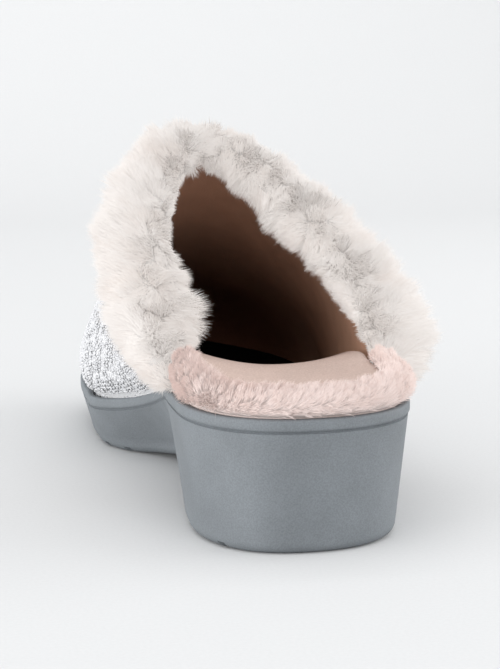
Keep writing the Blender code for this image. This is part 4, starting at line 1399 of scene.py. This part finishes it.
def make_stage(looks):
    """A pale seamless floor with soft light from both sides, and the camera behind the heel."""
    floor = bpy.data.materials.new("matte backdrop paper")
    floor.use_nodes = True
    tree = floor.node_tree
    shader = tree.nodes["Principled BSDF"]
    shader.inputs["Roughness"].default_value = 0.9
    shader.inputs["Specular IOR Level"].default_value = 0.1
    place = add_node(tree, "ShaderNodeTexCoord").outputs["Object"]
    fibre = add_node(tree, "ShaderNodeTexNoise", {"Scale": 900.0, "Detail": 2.0}, {"Vector": place})
    tone = add_ramp(tree, fibre.outputs["Fac"], [(0.3, "#d0d0d0"), (0.7, "#d3d3d3")])
    tree.links.new(tone, shader.inputs["Base Color"])
    # a floor that turns up into a wall far behind the toe
    profile = [(-2.0, 0.0), (0.9, 0.0)]
    profile += [(0.9 + 0.8 * math.sin(math.radians(a)), 0.8 * (1 - math.cos(math.radians(a)))) for a in range(6, 91, 6)]
    profile += [(1.7, 3.0)]
    points = [(x, y, z) for y, z in profile for x in (-2.5, 2.5)]
    faces = [(2 * n, 2 * n + 1, 2 * n + 3, 2 * n + 2) for n in range(len(profile) - 1)]
    mesh = bpy.data.meshes.new("backdrop")
    mesh.from_pydata(points, [], faces)
    mesh.shade_smooth()
    mesh.materials.append(floor)
    backdrop = bpy.data.objects.new("backdrop", mesh)
    bpy.context.scene.collection.objects.link(backdrop)

    world = bpy.data.worlds.new("studio")
    world.use_nodes = True
    world.node_tree.nodes["Background"].inputs["Color"].default_value = linear("#f4f6f8")
    world.node_tree.nodes["Background"].inputs["Strength"].default_value = looks.fill
    bpy.context.scene.world = world
    aim = Vector((0.0, 0.06, 0.05))
    for name, place, size, power in (
        ("soft_left", (-0.92, -0.20, 0.12), (1.0, 0.24), looks.side_light * 1.25),
        ("soft_right", (0.95, 0.0, 0.25), (0.9, 0.5), looks.side_light * 0.95),
        ("soft_top", (-0.25, -0.20, 1.15), (1.0, 1.0), looks.top_light),
        ("soft_wall", (0.0, 0.60, 1.30), (1.6, 0.5), looks.wall_light),
        ("soft_front", (0.20, -0.95, 0.62), (0.9, 0.6), looks.front_light),
    ):
        lamp = bpy.data.lights.new(name, "AREA")
        lamp.shape = "RECTANGLE"
        lamp.size, lamp.size_y = size
        lamp.energy = power
        made = bpy.data.objects.new(name, lamp)
        made.location = place
        target = Vector((0.0, 1.7, 0.35)) if name == "soft_wall" else aim
        made.rotation_euler = (target - Vector(place)).to_track_quat("-Z", "Y").to_euler()
        bpy.context.scene.collection.objects.link(made)
    bpy.context.scene.view_settings.view_transform = "Standard"
    make_camera()
    return backdrop


def make_camera():
    """The photograph's view, solved from the shoe's widths: from behind, a little from the inner side."""
    behind, height, beside = 0.5386, 0.1524, 0.0199
    turn, pitch = math.radians(12.5), math.radians(9.3)
    c, s = math.cos(turn), math.sin(turn)
    place = Vector((-behind * s - beside * c, -behind * c + beside * s - HEEL_REST_Y * MM, height))
    ahead = Vector((s * math.cos(pitch), c * math.cos(pitch), -math.sin(pitch)))
    right = Vector((c, -s, 0))
    up = right.cross(ahead)
    lens = bpy.data.cameras.new("camera")
    lens.sensor_width = 36
    lens.lens = 1954 * 36 / 669
    camera = bpy.data.objects.new("camera", lens)
    camera.matrix_world = Matrix((
        (right.x, up.x, -ahead.x, place.x),
        (right.y, up.y, -ahead.y, place.y),
        (right.z, up.z, -ahead.z, place.z),
        (0, 0, 0, 1),
    ))
    bpy.context.scene.collection.objects.link(camera)
    bpy.context.scene.camera = camera


# Add-on


class SlipperLooks(bpy.types.PropertyGroup):
    """Colours and sizes of the slipper's cloths and piles, and its lights."""

    sole_colour: FloatVectorProperty(
        name="Sole colour", description="Grey of the moulded foam", subtype="COLOR", size=4, min=0, max=1,
        default=linear("#767b7f"),
    )
    suede_colour: FloatVectorProperty(
        name="Suede colour", description="Rose beige of the insole", subtype="COLOR", size=4, min=0, max=1,
        default=linear("#c1ada3"),
    )
    lining_colour: FloatVectorProperty(
        name="Lining colour", description="Brown of the lining near the collar", subtype="COLOR", size=4, min=0, max=1,
        default=linear("#c49c84"),
    )
    # painted shade: the brown painted on the lining towards the toe, where the shoe is dark inside
    lining_shade_colour: FloatVectorProperty(
        name="Painted shade colour of the lining", description="Brown of the lining towards the toe", subtype="COLOR", size=4, min=0, max=1,
        default=linear("#6a4635"),
    )
    yarn_colour: FloatVectorProperty(
        name="Yarn colour", description="Off-white of the knit's yarn", subtype="COLOR", size=4, min=0, max=1,
        default=linear("#d8d8d9"),
    )
    fur_colour: FloatVectorProperty(
        name="Fur colour", description="Cream of the fur, apart from the light its fibres pass on", subtype="COLOR", size=4, min=0, max=1,
        default=linear("#a9a5a2"),
    )
    plush_colour: FloatVectorProperty(
        name="Plush colour", description="Rose of the heel roll's pile, apart from the light its fibres pass on", subtype="COLOR", size=4,
        min=0, max=1, default=linear("#c9bbb6"),
    )
    grain: FloatProperty(name="Sole grain", description="Strength of the moulded sole's grain", default=0.35, min=0, max=1)
    dish: FloatProperty(name="Heel dish", description="How deep the insole is pressed in under the heel", default=0.0018, unit="LENGTH")
    plush_length: FloatProperty(name="Plush length", description="Length of the heel roll's pile", default=0.0033, unit="LENGTH")
    plush_density: FloatProperty(name="Plush density", description="Plush hairs on a square millimetre", default=17.0, min=0)
    wale: FloatProperty(name="Wale pitch", description="Distance between the knit's wales", default=0.00168, unit="LENGTH")
    course: FloatProperty(name="Course pitch", description="Distance between the knit's courses", default=0.00168, unit="LENGTH")
    fur_reach: FloatProperty(name="Fur reach", description="Length of the fur as a share of the cuff's depth", default=1.0, min=0.2, max=1.2)
    fur_density: FloatProperty(name="Fur density", description="Fur hairs on a square millimetre", default=14.0, min=0)
    side_light: FloatProperty(name="Side light", description="Power of each soft side light", default=5.6, min=0, unit="POWER")
    top_light: FloatProperty(name="Top light", description="Power of the soft top light", default=2.4, min=0, unit="POWER")
    front_light: FloatProperty(name="Front light", description="Power of the soft light behind the camera", default=2.0, min=0, unit="POWER")
    wall_light: FloatProperty(name="Wall light", description="Power of the light on the backdrop", default=6.7, min=0, unit="POWER")
    fill: FloatProperty(name="Fill light", description="Strength of the studio's even light", default=1.06, min=0)


class SLIPPER_OT_sole(bpy.types.Operator):
    """Makes the moulded wedge sole with its lip and tread"""

    bl_idname = "slipper.sole"
    bl_label = "Sole"

    def execute(self, context):
        make_sole(context.scene.slipper_looks)
        return {"FINISHED"}


class SLIPPER_OT_insole(bpy.types.Operator):
    """Makes the cushioned suede insole"""

    bl_idname = "slipper.insole"
    bl_label = "Insole"

    def execute(self, context):
        make_insole(context.scene.slipper_looks)
        return {"FINISHED"}


class SLIPPER_OT_plush(bpy.types.Operator):
    """Makes the heel's plush roll and its pile"""

    bl_idname = "slipper.plush"
    bl_label = "Heel Plush"

    def execute(self, context):
        make_plush(context.scene.slipper_looks)
        return {"FINISHED"}


class SLIPPER_OT_upper(bpy.types.Operator):
    """Makes the upper's cloths and the knit's loops on them"""

    bl_idname = "slipper.upper"
    bl_label = "Knit Upper"

    def execute(self, context):
        make_upper(context.scene.slipper_looks)
        make_knit(context.scene.slipper_looks)
        return {"FINISHED"}


class SLIPPER_OT_fur(bpy.types.Operator):
    """Makes the fur cuff's backing and its three regions of fur"""

    bl_idname = "slipper.fur"
    bl_label = "Fur Cuff"

    def execute(self, context):
        make_fur(context.scene.slipper_looks)
        return {"FINISHED"}


class SLIPPER_OT_stage(bpy.types.Operator):
    """Makes the floor, the lights and the camera"""

    bl_idname = "slipper.stage"
    bl_label = "Stage"

    def execute(self, context):
        make_stage(context.scene.slipper_looks)
        return {"FINISHED"}


OPERATORS = (
    SLIPPER_OT_stage,
    SLIPPER_OT_sole,
    SLIPPER_OT_insole,
    SLIPPER_OT_plush,
    SLIPPER_OT_upper,
    SLIPPER_OT_fur,
)


class SLIPPER_PT_pieces(bpy.types.Panel):
    """Lists the slipper's settings and pieces"""

    bl_label = "Fur Cuff Slipper"
    bl_space_type = "VIEW_3D"
    bl_region_type = "UI"
    bl_category = "Slipper"

    def draw(self, context):
        looks = context.scene.slipper_looks
        for key in SlipperLooks.__annotations__:
            self.layout.prop(looks, key)
        for operator in OPERATORS:
            self.layout.operator(operator.bl_idname)


CLASSES = (SlipperLooks, *OPERATORS, SLIPPER_PT_pieces)


def register():
    for each in CLASSES:
        bpy.utils.register_class(each)
    bpy.types.Scene.slipper_looks = PointerProperty(type=SlipperLooks)


def unregister():
    del bpy.types.Scene.slipper_looks
    for each in reversed(CLASSES):
        bpy.utils.unregister_class(each)


def main():
    register()
    bpy.ops.slipper.stage()
    bpy.ops.slipper.sole()
    bpy.ops.slipper.insole()
    bpy.ops.slipper.plush()
    bpy.ops.slipper.upper()
    bpy.ops.slipper.fur()


if __name__ == "__main__":
    main()
